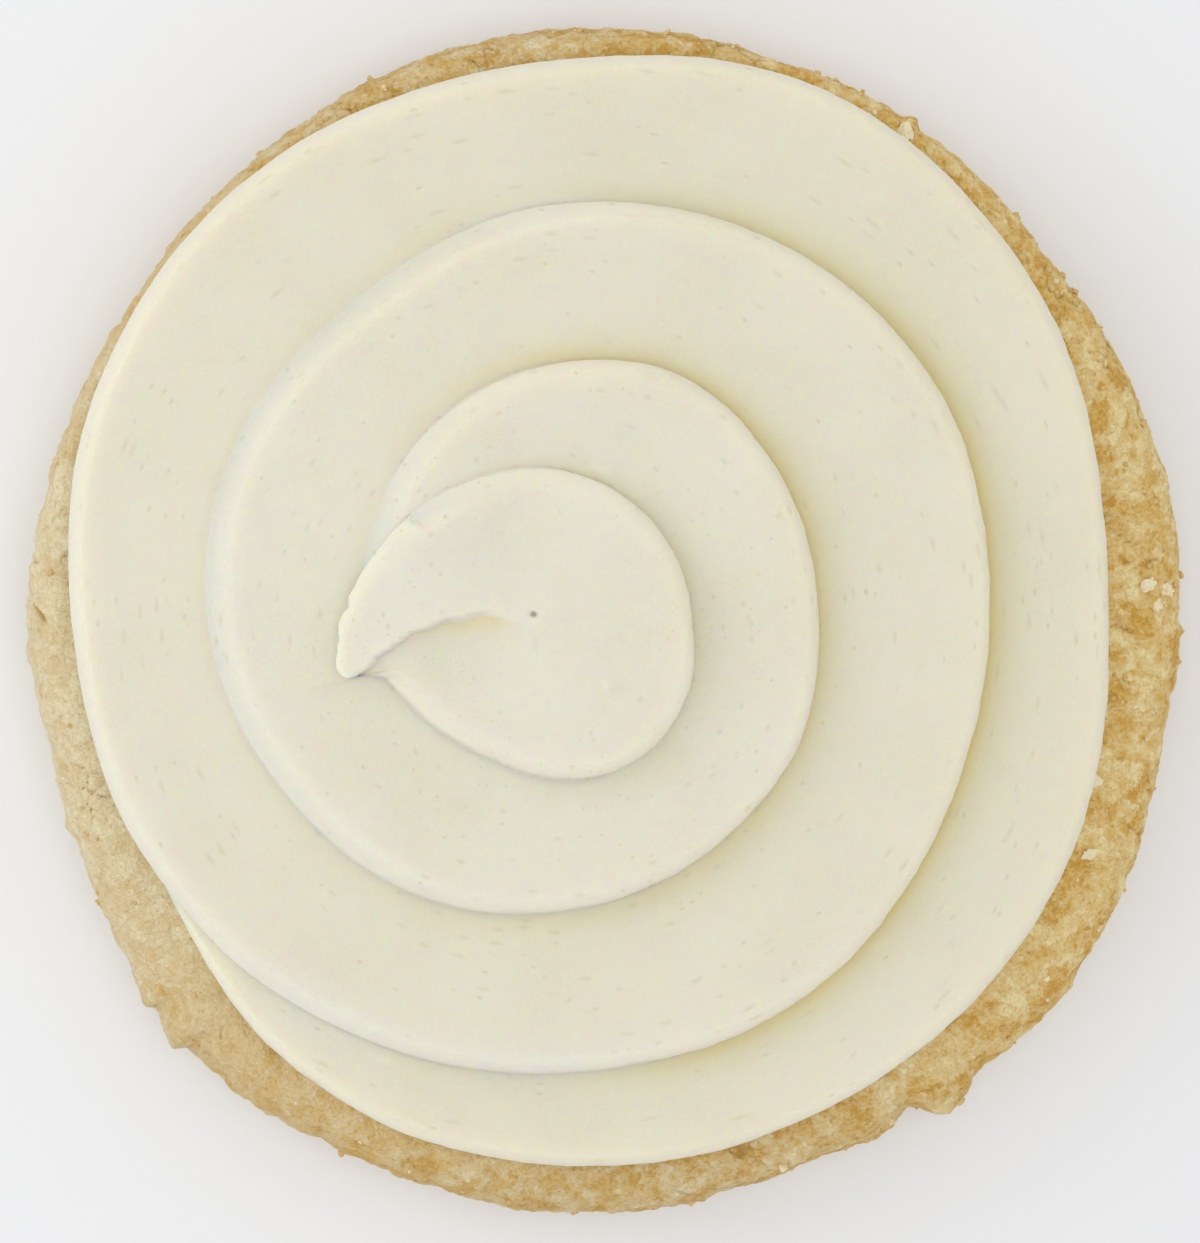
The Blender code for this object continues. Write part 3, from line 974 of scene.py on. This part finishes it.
# %% [markdown]
# ## Loose crumbs
#
# Crumbs cling all along the rim, most of them at the craggier side. Each is a rough pebble: an icosphere
# pushed about by noise, squashed and turned at random. They sit on corners of the biscuit's own surface
# and are sunk in a little, so that none floats. All of them are one joined mesh, because that is how many
# small things are kept light.

# %% Crumbs on the rim
CRUMB_COUNT = 180
CRUMB_SEED = 5
CRUMB_SIZES = (0.18, 0.50)
CRUMB_SIZE_POWER = 2.5
CRUMB_SQUASHES = (0.5, 0.9)
CRUMB_PALE_POWER = 3
CRUMB_STANDS = 0.1
CRUMB_SHARP = 40.0
PEBBLE_WIDTH = 0.75
PEBBLE_LUMP = 1.6
PEBBLE_FINER = 2.7
PEBBLE_DEPTHS = (0.7, 0.3)
PEBBLE_SEEDS = 90.0
# Crumbs lie on the bare rim, clear of the icing and the table, and thickest at the craggier side.
CLEAR_OF_ICING = 0.2
CLEAR_OF_TABLE = 2.0
CRAGGY_BEARING = -20.0
CRAGGY_FADES = (-0.2, 0.9)
LEAST_CRAGGY = 0.25
# The crumbs that stand out lie nearly flat, on the highest corner close to their place.
NAMED_STANDS = 0.2
NAMED_TILT = 0.3
HIGHER_FIRST = 0.05
# Crumbs that stand out: bearing, reach, size and squash.
NAMED_CRUMBS = (
    (2.1, 52.6, 0.60, 0.45),
    (0.6, 51.9, 0.50, 0.4),
    (2.6, 50.9, 0.65, 0.3),
    (53.6, 50.4, 0.75, 0.7),
    (-17.0, 48.5, 0.7, 0.3),
    (-24.0, 50.3, 0.6, 0.3),
)


def pebble(mesh, place, size, squash, turn, seed, fineness):
    """Add one crumb to the mesh and return how many corners it has."""
    made = bmesh.ops.create_icosphere(mesh, subdivisions=fineness, radius=1.0)
    for corner in made["verts"]:
        at = corner.co * PEBBLE_LUMP + Vector((seed, 0.0, 0.0))
        push = 1.0 + PEBBLE_DEPTHS[0] * noise.noise(at) + PEBBLE_DEPTHS[1] * noise.noise(at * PEBBLE_FINER)
        shape = Vector((corner.co.x, corner.co.y * PEBBLE_WIDTH, corner.co.z * squash)) * (push * size)
        shape.rotate(turn)
        corner.co = (Vector(place) + shape) * MM
    return len(made["verts"])


def scatter_crumbs():
    """All crumbs as one mesh."""
    random = np.random.default_rng(CRUMB_SEED)
    points, facing = read_surface(biscuit)
    reach = np.hypot(points[:, 0], points[:, 1])
    bearing = np.degrees(np.arctan2(points[:, 1], points[:, 0]))
    piped = (bearing - START_BEARING) % FULL_TURN
    bare = (reach > ribbon_reach(piped) + CLEAR_OF_ICING) & (points[:, 2] > CLEAR_OF_TABLE)
    craggy = smooth_step(np.cos(np.radians(bearing - CRAGGY_BEARING)), *CRAGGY_FADES)
    craggy = blend(LEAST_CRAGGY, 1.0, craggy)
    likely = craggy[bare] / craggy[bare].sum()
    chosen = random.choice(np.flatnonzero(bare), CRUMB_COUNT, replace=False, p=likely)
    origin = Vector((SWIRL_X, SWIRL_Y, 0.0))
    mesh = bmesh.new()
    pale = []
    for number in chosen:
        size = blend(*CRUMB_SIZES, random.random() ** CRUMB_SIZE_POWER)
        squash = random.uniform(*CRUMB_SQUASHES)
        turn = Euler(random.uniform(0.0, 2.0 * math.pi, 3).tolist())
        place = Vector(points[number]) + Vector(facing[number]) * (CRUMB_STANDS * size) + origin
        count = pebble(mesh, place, size, squash, turn, random.uniform(0.0, PEBBLE_SEEDS), 2)
        pale += [random.random() ** CRUMB_PALE_POWER] * count
    for at, far, size, squash in NAMED_CRUMBS:
        x, y = on_plan(at, far)
        far_off = np.hypot(points[:, 0] - x, points[:, 1] - y) - HIGHER_FIRST * points[:, 2]
        number = far_off.argmin()
        place = Vector(points[number]) + Vector(facing[number]) * (NAMED_STANDS * size) + origin
        tilts = [random.uniform(-NAMED_TILT, NAMED_TILT) for _ in range(2)]
        turn = Euler((*tilts, random.uniform(0.0, math.pi)))
        count = pebble(mesh, place, size, squash, turn, random.uniform(0.0, PEBBLE_SEEDS), 3)
        pale += [1.0] * count
    data = bpy.data.meshes.new("rim_crumbs")
    mesh.to_mesh(data)
    mesh.free()
    data.shade_smooth()
    data.set_sharp_from_angle(angle=math.radians(CRUMB_SHARP))
    keep(data, "pale", np.array(pale))
    piece = bpy.data.objects.new("rim_crumbs", data)
    bpy.context.scene.collection.objects.link(piece)
    return piece


crumbs = scatter_crumbs()
print("crumbs:", CRUMB_COUNT + len(NAMED_CRUMBS), "with", triangles(crumbs), "triangles")

# %% [markdown]
# ## Writing a finish as arithmetic
#
# A finish is a small sum of masks and colours. Wiring that by hand hides the idea, so a number socket is
# wrapped in a class that understands +, - and *, and each of those adds one Math node. Every other node
# comes from one method that takes its type, its settings and what goes into its sockets.

# %% Sockets that add up
class Amount:
    """A number that varies over a surface. Arithmetic on it adds Math nodes."""

    def __init__(self, finish, socket):
        self.finish = finish
        self.socket = socket

    def _math(self, operation, *values):
        return self.finish.node("Math", {"operation": operation}, dict(enumerate(values)))

    def __add__(self, other):
        return self._math("ADD", self, other)

    __radd__ = __add__

    def __mul__(self, other):
        return self._math("MULTIPLY", self, other)

    __rmul__ = __mul__

    def __sub__(self, other):
        return self._math("SUBTRACT", self, other)

    def __rsub__(self, other):
        return self._math("SUBTRACT", other, self)

    def also(self, out):
        """Another output of the same node."""
        return Amount(self.finish, self.socket.node.outputs[out])


class Finish:
    """A material, and the nodes that are added to it."""

    def __init__(self, name):
        self.material = bpy.data.materials.new(name)
        self.material.use_nodes = True
        self.tree = self.material.node_tree
        self.shader = self.tree.nodes["Principled BSDF"]

    def node(self, kind, settings, sockets, out=0):
        """Add a node, set it up, fill its sockets and return one of its outputs."""
        node = self.tree.nodes.new("ShaderNode" + kind)
        for name, value in settings.items():
            if name == "stops":
                self.colour_stops(node.color_ramp, value)
            else:
                setattr(node, name, value)
        for name, value in sockets.items():
            if isinstance(value, Amount):
                self.tree.links.new(value.socket, node.inputs[name])
            else:
                node.inputs[name].default_value = value
        return Amount(self, node.outputs[out])

    @staticmethod
    def colour_stops(ramp, stops):
        """Give a ramp these (position, colour) stops."""
        while len(ramp.elements) < len(stops):
            ramp.elements.new(1.0)
        for element, (position, colour) in zip(ramp.elements, stops):
            element.position = position
            element.color = (*colour, 1.0)

    def place(self):
        """The place on the surface, in millimetres from the swirl's middle."""
        here = self.node("TexCoord", {}, {}, "Object")
        middle = (SWIRL_X * MM, SWIRL_Y * MM, 0.0)
        moved = self.node("VectorMath", {"operation": "SUBTRACT"}, {0: here, 1: middle})
        return self.node("VectorMath", {"operation": "SCALE"}, {0: moved, "Scale": 1.0 / MM})

    def noise(self, where, size, detail=2.0, distortion=0.0):
        """Soft noise from 0 to 1 with lumps of about this size in millimetres."""
        sockets = {"Vector": where, "Scale": 1.0 / size, "Detail": detail, "Distortion": distortion}
        return self.node("TexNoise", {}, sockets, "Fac")

    def step(self, value, low, high):
        """0 below low and 1 above high, smooth between."""
        sockets = {"Value": value, "From Min": low, "From Max": high}
        return self.node("MapRange", {"interpolation_type": "SMOOTHSTEP"}, sockets)

    def mask(self, value, low, high, strength):
        """0 below low and strength above high, smooth between."""
        return self.step(value, low, high) * strength

    def mix(self, share, first, second):
        """A colour that goes from the first to the second as share goes from 0 to 1."""
        colours = [c if isinstance(c, Amount) else (*c, 1.0) for c in (first, second)]
        return self.node("Mix", {"data_type": "RGBA"}, {0: share, 6: colours[0], 7: colours[1]}, 2)

    def bump(self, height, reach_mm):
        """Tilt the surface as if it rose by reach_mm where height is 1."""
        sockets = {"Height": height, "Distance": reach_mm * MM, "Strength": 1.0}
        return self.node("Bump", {}, sockets, "Normal")

    def feed(self, **sockets):
        """Feed the shader: a linked amount, or a plain value on the socket itself."""
        for name, value in sockets.items():
            socket = self.shader.inputs[name.replace("_", " ")]
            if isinstance(value, Amount):
                self.tree.links.new(value.socket, socket)
            else:
                socket.default_value = value

    def put_on(self, piece):
        """Make this the only material of a piece."""
        piece.data.materials.clear()
        piece.data.materials.append(self.material)


# %% [markdown]
# ## The icing's finish
#
# Sugar icing is cloudy: light goes in, scatters and comes out warm, which is why shadows on it glow
# yellow. That is subsurface scattering, set as plain values on the shader. Shade is also painted into the
# colour: yellow painted shade in the folds and whiter painted highlight on the crests. The cream is a
# little paler on the higher turns, and faint clouds and pores break it up; the pores are painted darker, a
# painted shade. Small air pits, painted as darker spots of shade with no dent, are drawn out along the
# ribbon: they follow the swirl because their texture is laid on a cylinder round the swirl's middle, with
# the bearing going round it and the reach going up it.

# %% Icing finish
CREAM_LOW = (0.776, 0.747, 0.612)
CREAM_TOP = (0.794, 0.773, 0.667)
CREAM_WARM = (0.754, 0.720, 0.572)
# Painted shade for the folds, painted highlight for the crests, painted shade for the pits and the hole.
CREAM_PAINTED_SHADE = (0.75, 0.60, 0.20)
CREAM_PAINTED_HIGHLIGHT = (0.770, 0.763, 0.695)
PIT_PAINTED_SHADE = (0.62, 0.575, 0.42)
HOLE_PAINTED_SHADE = (0.42, 0.36, 0.22)
CREAM_HEIGHTS = (15.5, 26.5)
CLOUD_SIZE = 9.0
CLOUD_SHARE = 0.7
CLOUDY = (0.3, 0.7, 0.5)
HAZE_SIZE = 1.6
GRAIN_SIZE = 0.22
# Textures that follow the swirl: how far round and how far out one unit of them reaches.
LONG_PIT_LAY = (11.0, 0.9)
SMALL_PIT_LAY = (30.0, 0.55)
DRAG_LAY = (5.0, 0.8)
# Width of a pit in its cell, and the share of the cells that have one.
LONG_PITS = (0.34, 0.20)
SMALL_PITS = (0.40, 0.08)
PITS_FROM = (4.0, 11.0)
PORES = (0.5, 0.75)
PORE_PATCHES = (0.45, 0.6)
# How strongly each kind of pit, and the hole left in the middle, takes its darker colour, a painted shade.
LONG_PIT_TONE = 0.45
SMALL_PIT_TONE = 0.62
PORE_TONE = 0.16
HOLE_TONE = 0.65
DRAG_BUMP = 0.05
GRAIN_BUMP = 0.03
SCATTER_REACH = 3.0
SCATTER_COLOURS = (1.0, 0.55, 0.15)
HOLE_AT = (-2.2, 0.7, 0.0)
HOLE_SIZE = (0.12, 0.36)


def plan_place(finish, where):
    """The place with its height left out, and its reach from the swirl's middle."""
    flat = finish.node("VectorMath", {"operation": "MULTIPLY"}, {0: where, 1: (1.0, 1.0, 0.0)})
    return flat, finish.node("VectorMath", {"operation": "LENGTH"}, {0: flat}, "Value")


def swirl_place(finish, where, round_size, out_size):
    """The place on a cylinder round the swirl's middle, so that textures stretch along the ribbon."""
    flat, reach = plan_place(finish, where)
    facing = finish.node("VectorMath", {"operation": "NORMALIZE"}, {0: flat})
    ring = finish.node("VectorMath", {"operation": "SCALE"}, {0: facing, "Scale": round_size})
    height = finish.node("CombineXYZ", {}, {"Z": reach * (1.0 / out_size)})
    return finish.node("VectorMath", {"operation": "ADD"}, {0: ring, 1: height})


def pits(finish, where, width, share):
    """A mask of scattered small pits: 1 in their middles, and only in this share of the cells."""
    near = finish.node("TexVoronoi", {}, {"Vector": where, "Scale": 1.0, "Randomness": 1.0}, "Distance")
    draw = finish.node("SeparateColor", {}, {0: near.also("Color")}, 0)
    return (1 - finish.step(near, 0.0, width)) * finish.step(draw, 1.0 - share, 1.02 - share)


def icing_finish():
    """Cloudy cream with faint clouds and drag lines, painted shade in folds, pits and pores, painted
    highlights.
    """
    finish = Finish("icing_cream")
    where = finish.place()
    clouds = finish.noise(where, CLOUD_SIZE, 2.0)
    haze = finish.noise(where, HAZE_SIZE, 2.0)
    long_pits = pits(finish, swirl_place(finish, where, *LONG_PIT_LAY), *LONG_PITS)
    small_pits = pits(finish, swirl_place(finish, where, *SMALL_PIT_LAY), *SMALL_PITS)
    drags = finish.noise(swirl_place(finish, where, *DRAG_LAY), 1.0, 2.0)
    grain = finish.noise(where, GRAIN_SIZE, 1.0)
    flat, reach = plan_place(finish, where)
    away = finish.step(reach, *PITS_FROM)
    from_hole = finish.node("VectorMath", {"operation": "DISTANCE"}, {0: flat, 1: HOLE_AT}, "Value")
    hole = 1 - finish.step(from_hole, *HOLE_SIZE)
    cloudy = finish.mask(clouds * CLOUD_SHARE + haze * (1.0 - CLOUD_SHARE), *CLOUDY)
    rise = finish.node("SeparateXYZ", {}, {0: where}, 2)
    cream = finish.mix(finish.step(rise, *CREAM_HEIGHTS), CREAM_LOW, CREAM_TOP)
    cream = finish.mix(cloudy, cream, CREAM_WARM)
    fold = finish.node("Attribute", {"attribute_name": "fold"}, {}, "Fac")
    # Painted highlight on the crests, then yellow painted shade in the folds.
    cream = finish.mix(finish.step(0 - fold, 0.0, 1.0), cream, CREAM_PAINTED_HIGHLIGHT)
    cream = finish.mix(finish.step(fold, 0.0, 1.0), cream, CREAM_PAINTED_SHADE)
    pores = finish.step(grain, *PORES) * finish.step(clouds, *PORE_PATCHES)
    # Painted shade in the pits and pores, which have no dent in the surface.
    hollow = (long_pits * LONG_PIT_TONE + small_pits * SMALL_PIT_TONE) * away + pores * PORE_TONE
    relief = drags * DRAG_BUMP + grain * GRAIN_BUMP
    cream = finish.mix(hollow, cream, PIT_PAINTED_SHADE)
    # The hole in the middle is painted darker too, a painted shade.
    finish.feed(
        Base_Color=finish.mix(hole * HOLE_TONE, cream, HOLE_PAINTED_SHADE),
        Roughness=0.48 + haze * 0.14,
        Normal=finish.bump(relief, 1.0),
        Subsurface_Weight=1.0,
        Subsurface_Radius=SCATTER_COLOURS,
        Subsurface_Scale=SCATTER_REACH * MM,
        IOR=1.45,
        Specular_IOR_Level=0.35,
    )
    finish.put_on(icing)


icing_finish()
print("icing finish has", len(icing.data.materials[0].node_tree.nodes), "nodes")

# %% [markdown]
# ## The biscuit's finish
#
# Baked crumb runs from pale flour to deep amber. Patches and streaks set how much each part browned,
# and flakes with sharp edges shift it piece by piece. Shade is painted in too: the hollows that were kept
# with the mesh are painted darkest, and a painted shadow of the icing browns the crumb beside it on the
# right. One side is warmer and rougher than the other, partly browner baking and partly painted shade,
# and the far end of the smooth side is paler, partly baking and partly painted light. Crumb hardly shines,
# so the roughness stays high.

# %% Biscuit finish
AMBER = (0.56, 0.33, 0.075)
GOLDEN = (0.66, 0.45, 0.165)
TAN = (0.70, 0.53, 0.27)
SAND = (0.74, 0.60, 0.35)
FLOUR = (0.80, 0.70, 0.46)
CRUMB_PALE = (0.86, 0.76, 0.52)
HOLLOW_SHADE_COLOUR = (0.46, 0.26, 0.06)
CRAGGY_WAY = (0.98, 0.17, 0.0)
# Warmer on the craggy right: partly browner baking, partly painted shade of the shaded side.
WARM_BAKE_AND_SHADE = (1.11, 1.05, 0.82)
PATCH_SIZE = 2.8
STREAK_SIZE = 0.9
CRUMB_GRAIN = 0.35
FLAKE_SIZES = (1.5, 0.6)
# Where each tone of baking lies on the scale from the deepest brown to the palest flour.
BAKES = ((0.0, AMBER), (0.3, GOLDEN), (0.52, TAN), (0.78, SAND), (1.0, FLOUR))
MIDDLE_TONE = 0.56
# How far each kind moves the baking along that scale; the small relief's depth moves it as painted shade.
PATCHY = 0.55
STREAKY = 0.45
DEPTH_SHADE = 0.6
GRAINY = 0.75
FLAKY = 0.55
# The contrast rises from the smooth side to the craggy one in two steps: from, to and by how much.
LEAST_WORN = 0.75
WEARS = ((-0.8, 0.3, 0.7), (0.4, 1.0, 0.2))
WARM_FROM = (0.0, 0.8)
# Far end of the smooth side paler, partly baking and partly painted light; +Y and -Y ends browner.
PALE_BAKE_AND_LIGHT = (-0.6, -1.0, 0.34)
BROWN_ENDS = 0.20
HOLLOW_SHADE = (0.05, 0.34, 0.7)
FRECKLES = (0.56, 0.74, 0.22)
CRUMB_FRECKLES = (0.6, 0.8, 0.3)


def crumb_colour(finish, where, small, grain, flaky):
    """Baked crumb's colour, shade painted into hollows; small runs from 0 in hollows to 1 on high spots."""
    patches = finish.noise(where, PATCH_SIZE, 2.0, 0.8)
    streaks = finish.noise(where, STREAK_SIZE, 2.0, 0.5)
    facing = finish.node("VectorMath", {"operation": "NORMALIZE"}, {0: where})
    side = finish.node("VectorMath", {"operation": "DOT_PRODUCT"}, {0: facing, 1: CRAGGY_WAY}, "Value")
    across = finish.node("SeparateXYZ", {}, {0: facing}, 1)
    ends = across * across
    worn = finish.mask(side, *WEARS[0]) + finish.mask(side, *WEARS[1]) + LEAST_WORN
    mottle = (patches - 0.5) * PATCHY + (streaks - 0.5) * STREAKY
    mottle = mottle + (small - 0.5) * DEPTH_SHADE + (grain - 0.5) * GRAINY + (flaky - 0.5) * FLAKY
    # Paler at the far left, partly painted light; browner at the +Y and -Y ends.
    tone = mottle * worn + finish.mask(side, *PALE_BAKE_AND_LIGHT) - ends * ends * BROWN_ENDS + MIDDLE_TONE
    baked = finish.node("ValToRGB", {"stops": BAKES}, {"Fac": tone}, "Color")
    # The craggy right is made warmer, partly browner baking and partly painted shade.
    sockets = {0: finish.step(side, *WARM_FROM), 6: baked, 7: (*WARM_BAKE_AND_SHADE, 1.0)}
    return finish.node("Mix", {"data_type": "RGBA", "blend_type": "MULTIPLY"}, sockets, 2)


def flakes(finish, where, size):
    """A random tone for each of many ragged flakes about this size."""
    wobble = finish.node("TexNoise", {}, {"Vector": where, "Scale": 2.0 / size, "Detail": 1.0}, "Color")
    ragged = finish.node("VectorMath", {"operation": "MULTIPLY_ADD"}, {0: wobble, 1: (size,) * 3, 2: where})
    sockets = {"Vector": ragged, "Scale": 1.0 / size, "Randomness": 1.0}
    cell = finish.node("TexVoronoi", {}, sockets, "Color")
    return finish.node("SeparateColor", {}, {0: cell}, 0)


def biscuit_finish():
    """Baked crumb, with shade painted darker into the hollows and paler high spots."""
    finish = Finish("biscuit_crumb")
    where = finish.place()
    small = finish.node("Attribute", {"attribute_name": "crumb"}, {}, "Fac")
    # The cell tone carries the painted shadow of the icing.
    plate = finish.node("Attribute", {"attribute_name": "plate"}, {}, "Fac")
    grain = finish.noise(where, CRUMB_GRAIN, 3.0, 0.3)
    flaky = flakes(finish, where, FLAKE_SIZES[0]) * 0.6 + flakes(finish, where, FLAKE_SIZES[1]) * 0.4
    baked = crumb_colour(finish, where, small * 0.6 + plate * 0.4, grain, flaky)
    # Painted shade: the deepest hollows and cracks are painted dark brown.
    hollow_shade = (1 - finish.step(small, *HOLLOW_SHADE[:2])) * HOLLOW_SHADE[2]
    shaded = finish.mix(finish.mask(grain, *FRECKLES), finish.mix(hollow_shade, baked, HOLLOW_SHADE_COLOUR), AMBER)
    finish.feed(
        Base_Color=shaded,
        Roughness=0.82 + grain * 0.15,
        Normal=finish.bump(grain * 0.36 + flaky * 0.26, 1.0),
        Specular_IOR_Level=0.3,
    )
    finish.put_on(biscuit)


def crumbs_finish():
    """Loose crumbs: the same baking, a shade paler."""
    finish = Finish("crumb_pale")
    where = finish.place()
    grain = finish.noise(where, 0.3, 3.0, 0.4)
    pale = finish.node("Attribute", {"attribute_name": "pale"}, {}, "Fac")
    baked = finish.mix(pale, GOLDEN, CRUMB_PALE)
    finish.feed(
        Base_Color=finish.mix(finish.mask(grain, *CRUMB_FRECKLES), baked, GOLDEN),
        Roughness=0.85 + grain * 0.1,
        Normal=finish.bump(grain * 0.12, 1.0),
        Specular_IOR_Level=0.3,
    )
    finish.put_on(crumbs)


biscuit_finish()
crumbs_finish()
print("biscuit finish has", len(biscuit.data.materials[0].node_tree.nodes), "nodes")

# %% [markdown]
# ## Attaching the pieces
#
# Each new piece rides on the cookie's one body, and the imported solids that they replace are hidden.

# %% Pieces and bodies
for piece, slot in ((icing, "icing"), (biscuit, "biscuit"), (crumbs, "biscuit")):
    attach(piece, "root")
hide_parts("icing")
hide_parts("biscuit")

# %% [markdown]
# ## The table
#
# A cookie is best seen on plain white paper. It needs almost nothing: a broad sheet with a very faint
# tooth, so that it takes the soft shadow without drawing the eye.

# %% The floor
FLOOR_HALF = 0.9
PAPER = (0.860, 0.868, 0.885)
PAPER_TOOTH = (0.800, 0.805, 0.815)
TOOTH_SIZE = 0.6


def lay_floor():
    """A broad sheet of white paper under the cookie."""
    mesh = bmesh.new()
    bmesh.ops.create_grid(mesh, x_segments=8, y_segments=8, size=FLOOR_HALF)
    data = bpy.data.meshes.new("floor")
    mesh.to_mesh(data)
    mesh.free()
    floor = bpy.data.objects.new("floor", data)
    bpy.context.scene.collection.objects.link(floor)
    finish = Finish("paper")
    where = finish.place()
    tooth = finish.noise(where, TOOTH_SIZE, 2.0)
    finish.feed(
        Base_Color=finish.mix(tooth * 0.15, PAPER, PAPER_TOOTH),
        Roughness=0.6,
        Normal=finish.bump(tooth * 0.02, 1.0),
        Specular_IOR_Level=0.3,
    )
    finish.put_on(floor)


lay_floor()

# %% [markdown]
# ## Soft daylight
#
# The light is a wide low window to the left, a weaker one beside it, a soft ceiling and a pale room all
# round. The window gives the lips on the right their long soft shadows, and the room fills them, so that
# the swirl reads by slight changes of tone.

# %% Lamps and world
WINDOW_COLOUR = (1.0, 1.0, 1.0)
ROOM_COLOUR = (1.0, 1.0, 1.0)
# Each lamp: name, bearing, elevation, distance in metres, side in metres, and power in watts.
LAMPS = (
    ("window", 157.0, 25.0, 1.0, 0.6, 1.7),
    ("doorway", 205.0, 30.0, 1.0, 0.6, 0.5),
    ("ceiling", 0.0, 88.0, 1.0, 0.6, 1.7),
)
ROOM_STRENGTH = 0.770


def hang_lamp(name, bearing, elevation, distance, side, power):
    """A square area lamp that faces the cookie."""
    lamp = bpy.data.lights.new(name, "AREA")
    lamp.shape = "SQUARE"
    lamp.size = side
    lamp.energy = power
    lamp.color = WINDOW_COLOUR
    holder = bpy.data.objects.new(name, lamp)
    x, y = on_plan(bearing, math.cos(math.radians(elevation)))
    back = Vector((x, y, math.sin(math.radians(elevation))))
    holder.location = back * distance
    holder.rotation_euler = back.to_track_quat("Z", "Y").to_euler()
    holder.visible_camera = False
    bpy.context.scene.collection.objects.link(holder)


for lamp in LAMPS:
    hang_lamp(*lamp)
world = bpy.data.worlds.new("room")
world.use_nodes = True
room = world.node_tree.nodes["Background"]
room.inputs["Color"].default_value = (*ROOM_COLOUR, 1.0)
room.inputs["Strength"].default_value = ROOM_STRENGTH
bpy.context.scene.world = world
bpy.context.scene.view_settings.view_transform = "Standard"

# %% [markdown]
# ## The camera
#
# The cookie is seen from above, as one looks down at a plate, a few degrees off the vertical. The lens is
# long, so the lips hardly lean. The camera's axes are built from where it stands and what it aims at, with
# +Y up in the picture.

# %% The camera
STANDS_AT = Vector((-27.1, 19.8, 369.5)) * MM
AIMS_AT = Vector((-0.5, -0.3, 0.0)) * MM
LENS = 123.09

look = (AIMS_AT - STANDS_AT).normalized()
right = look.cross(Vector((0.0, 1.0, 0.0))).normalized()
up = right.cross(look)
camera_data = bpy.data.cameras.new("camera")
camera_data.lens = LENS
camera_data.clip_start = 0.01
camera_data.clip_end = 10.0
camera = bpy.data.objects.new("camera", camera_data)
camera.location = STANDS_AT
camera.rotation_euler = Matrix((right, up, -look)).transposed().to_euler()
bpy.context.scene.collection.objects.link(camera)
bpy.context.scene.camera = camera

# %% [markdown]
# ## Last update
#
# Last, the scene is brought up to date.

# %% Update
bpy.context.view_layer.update()
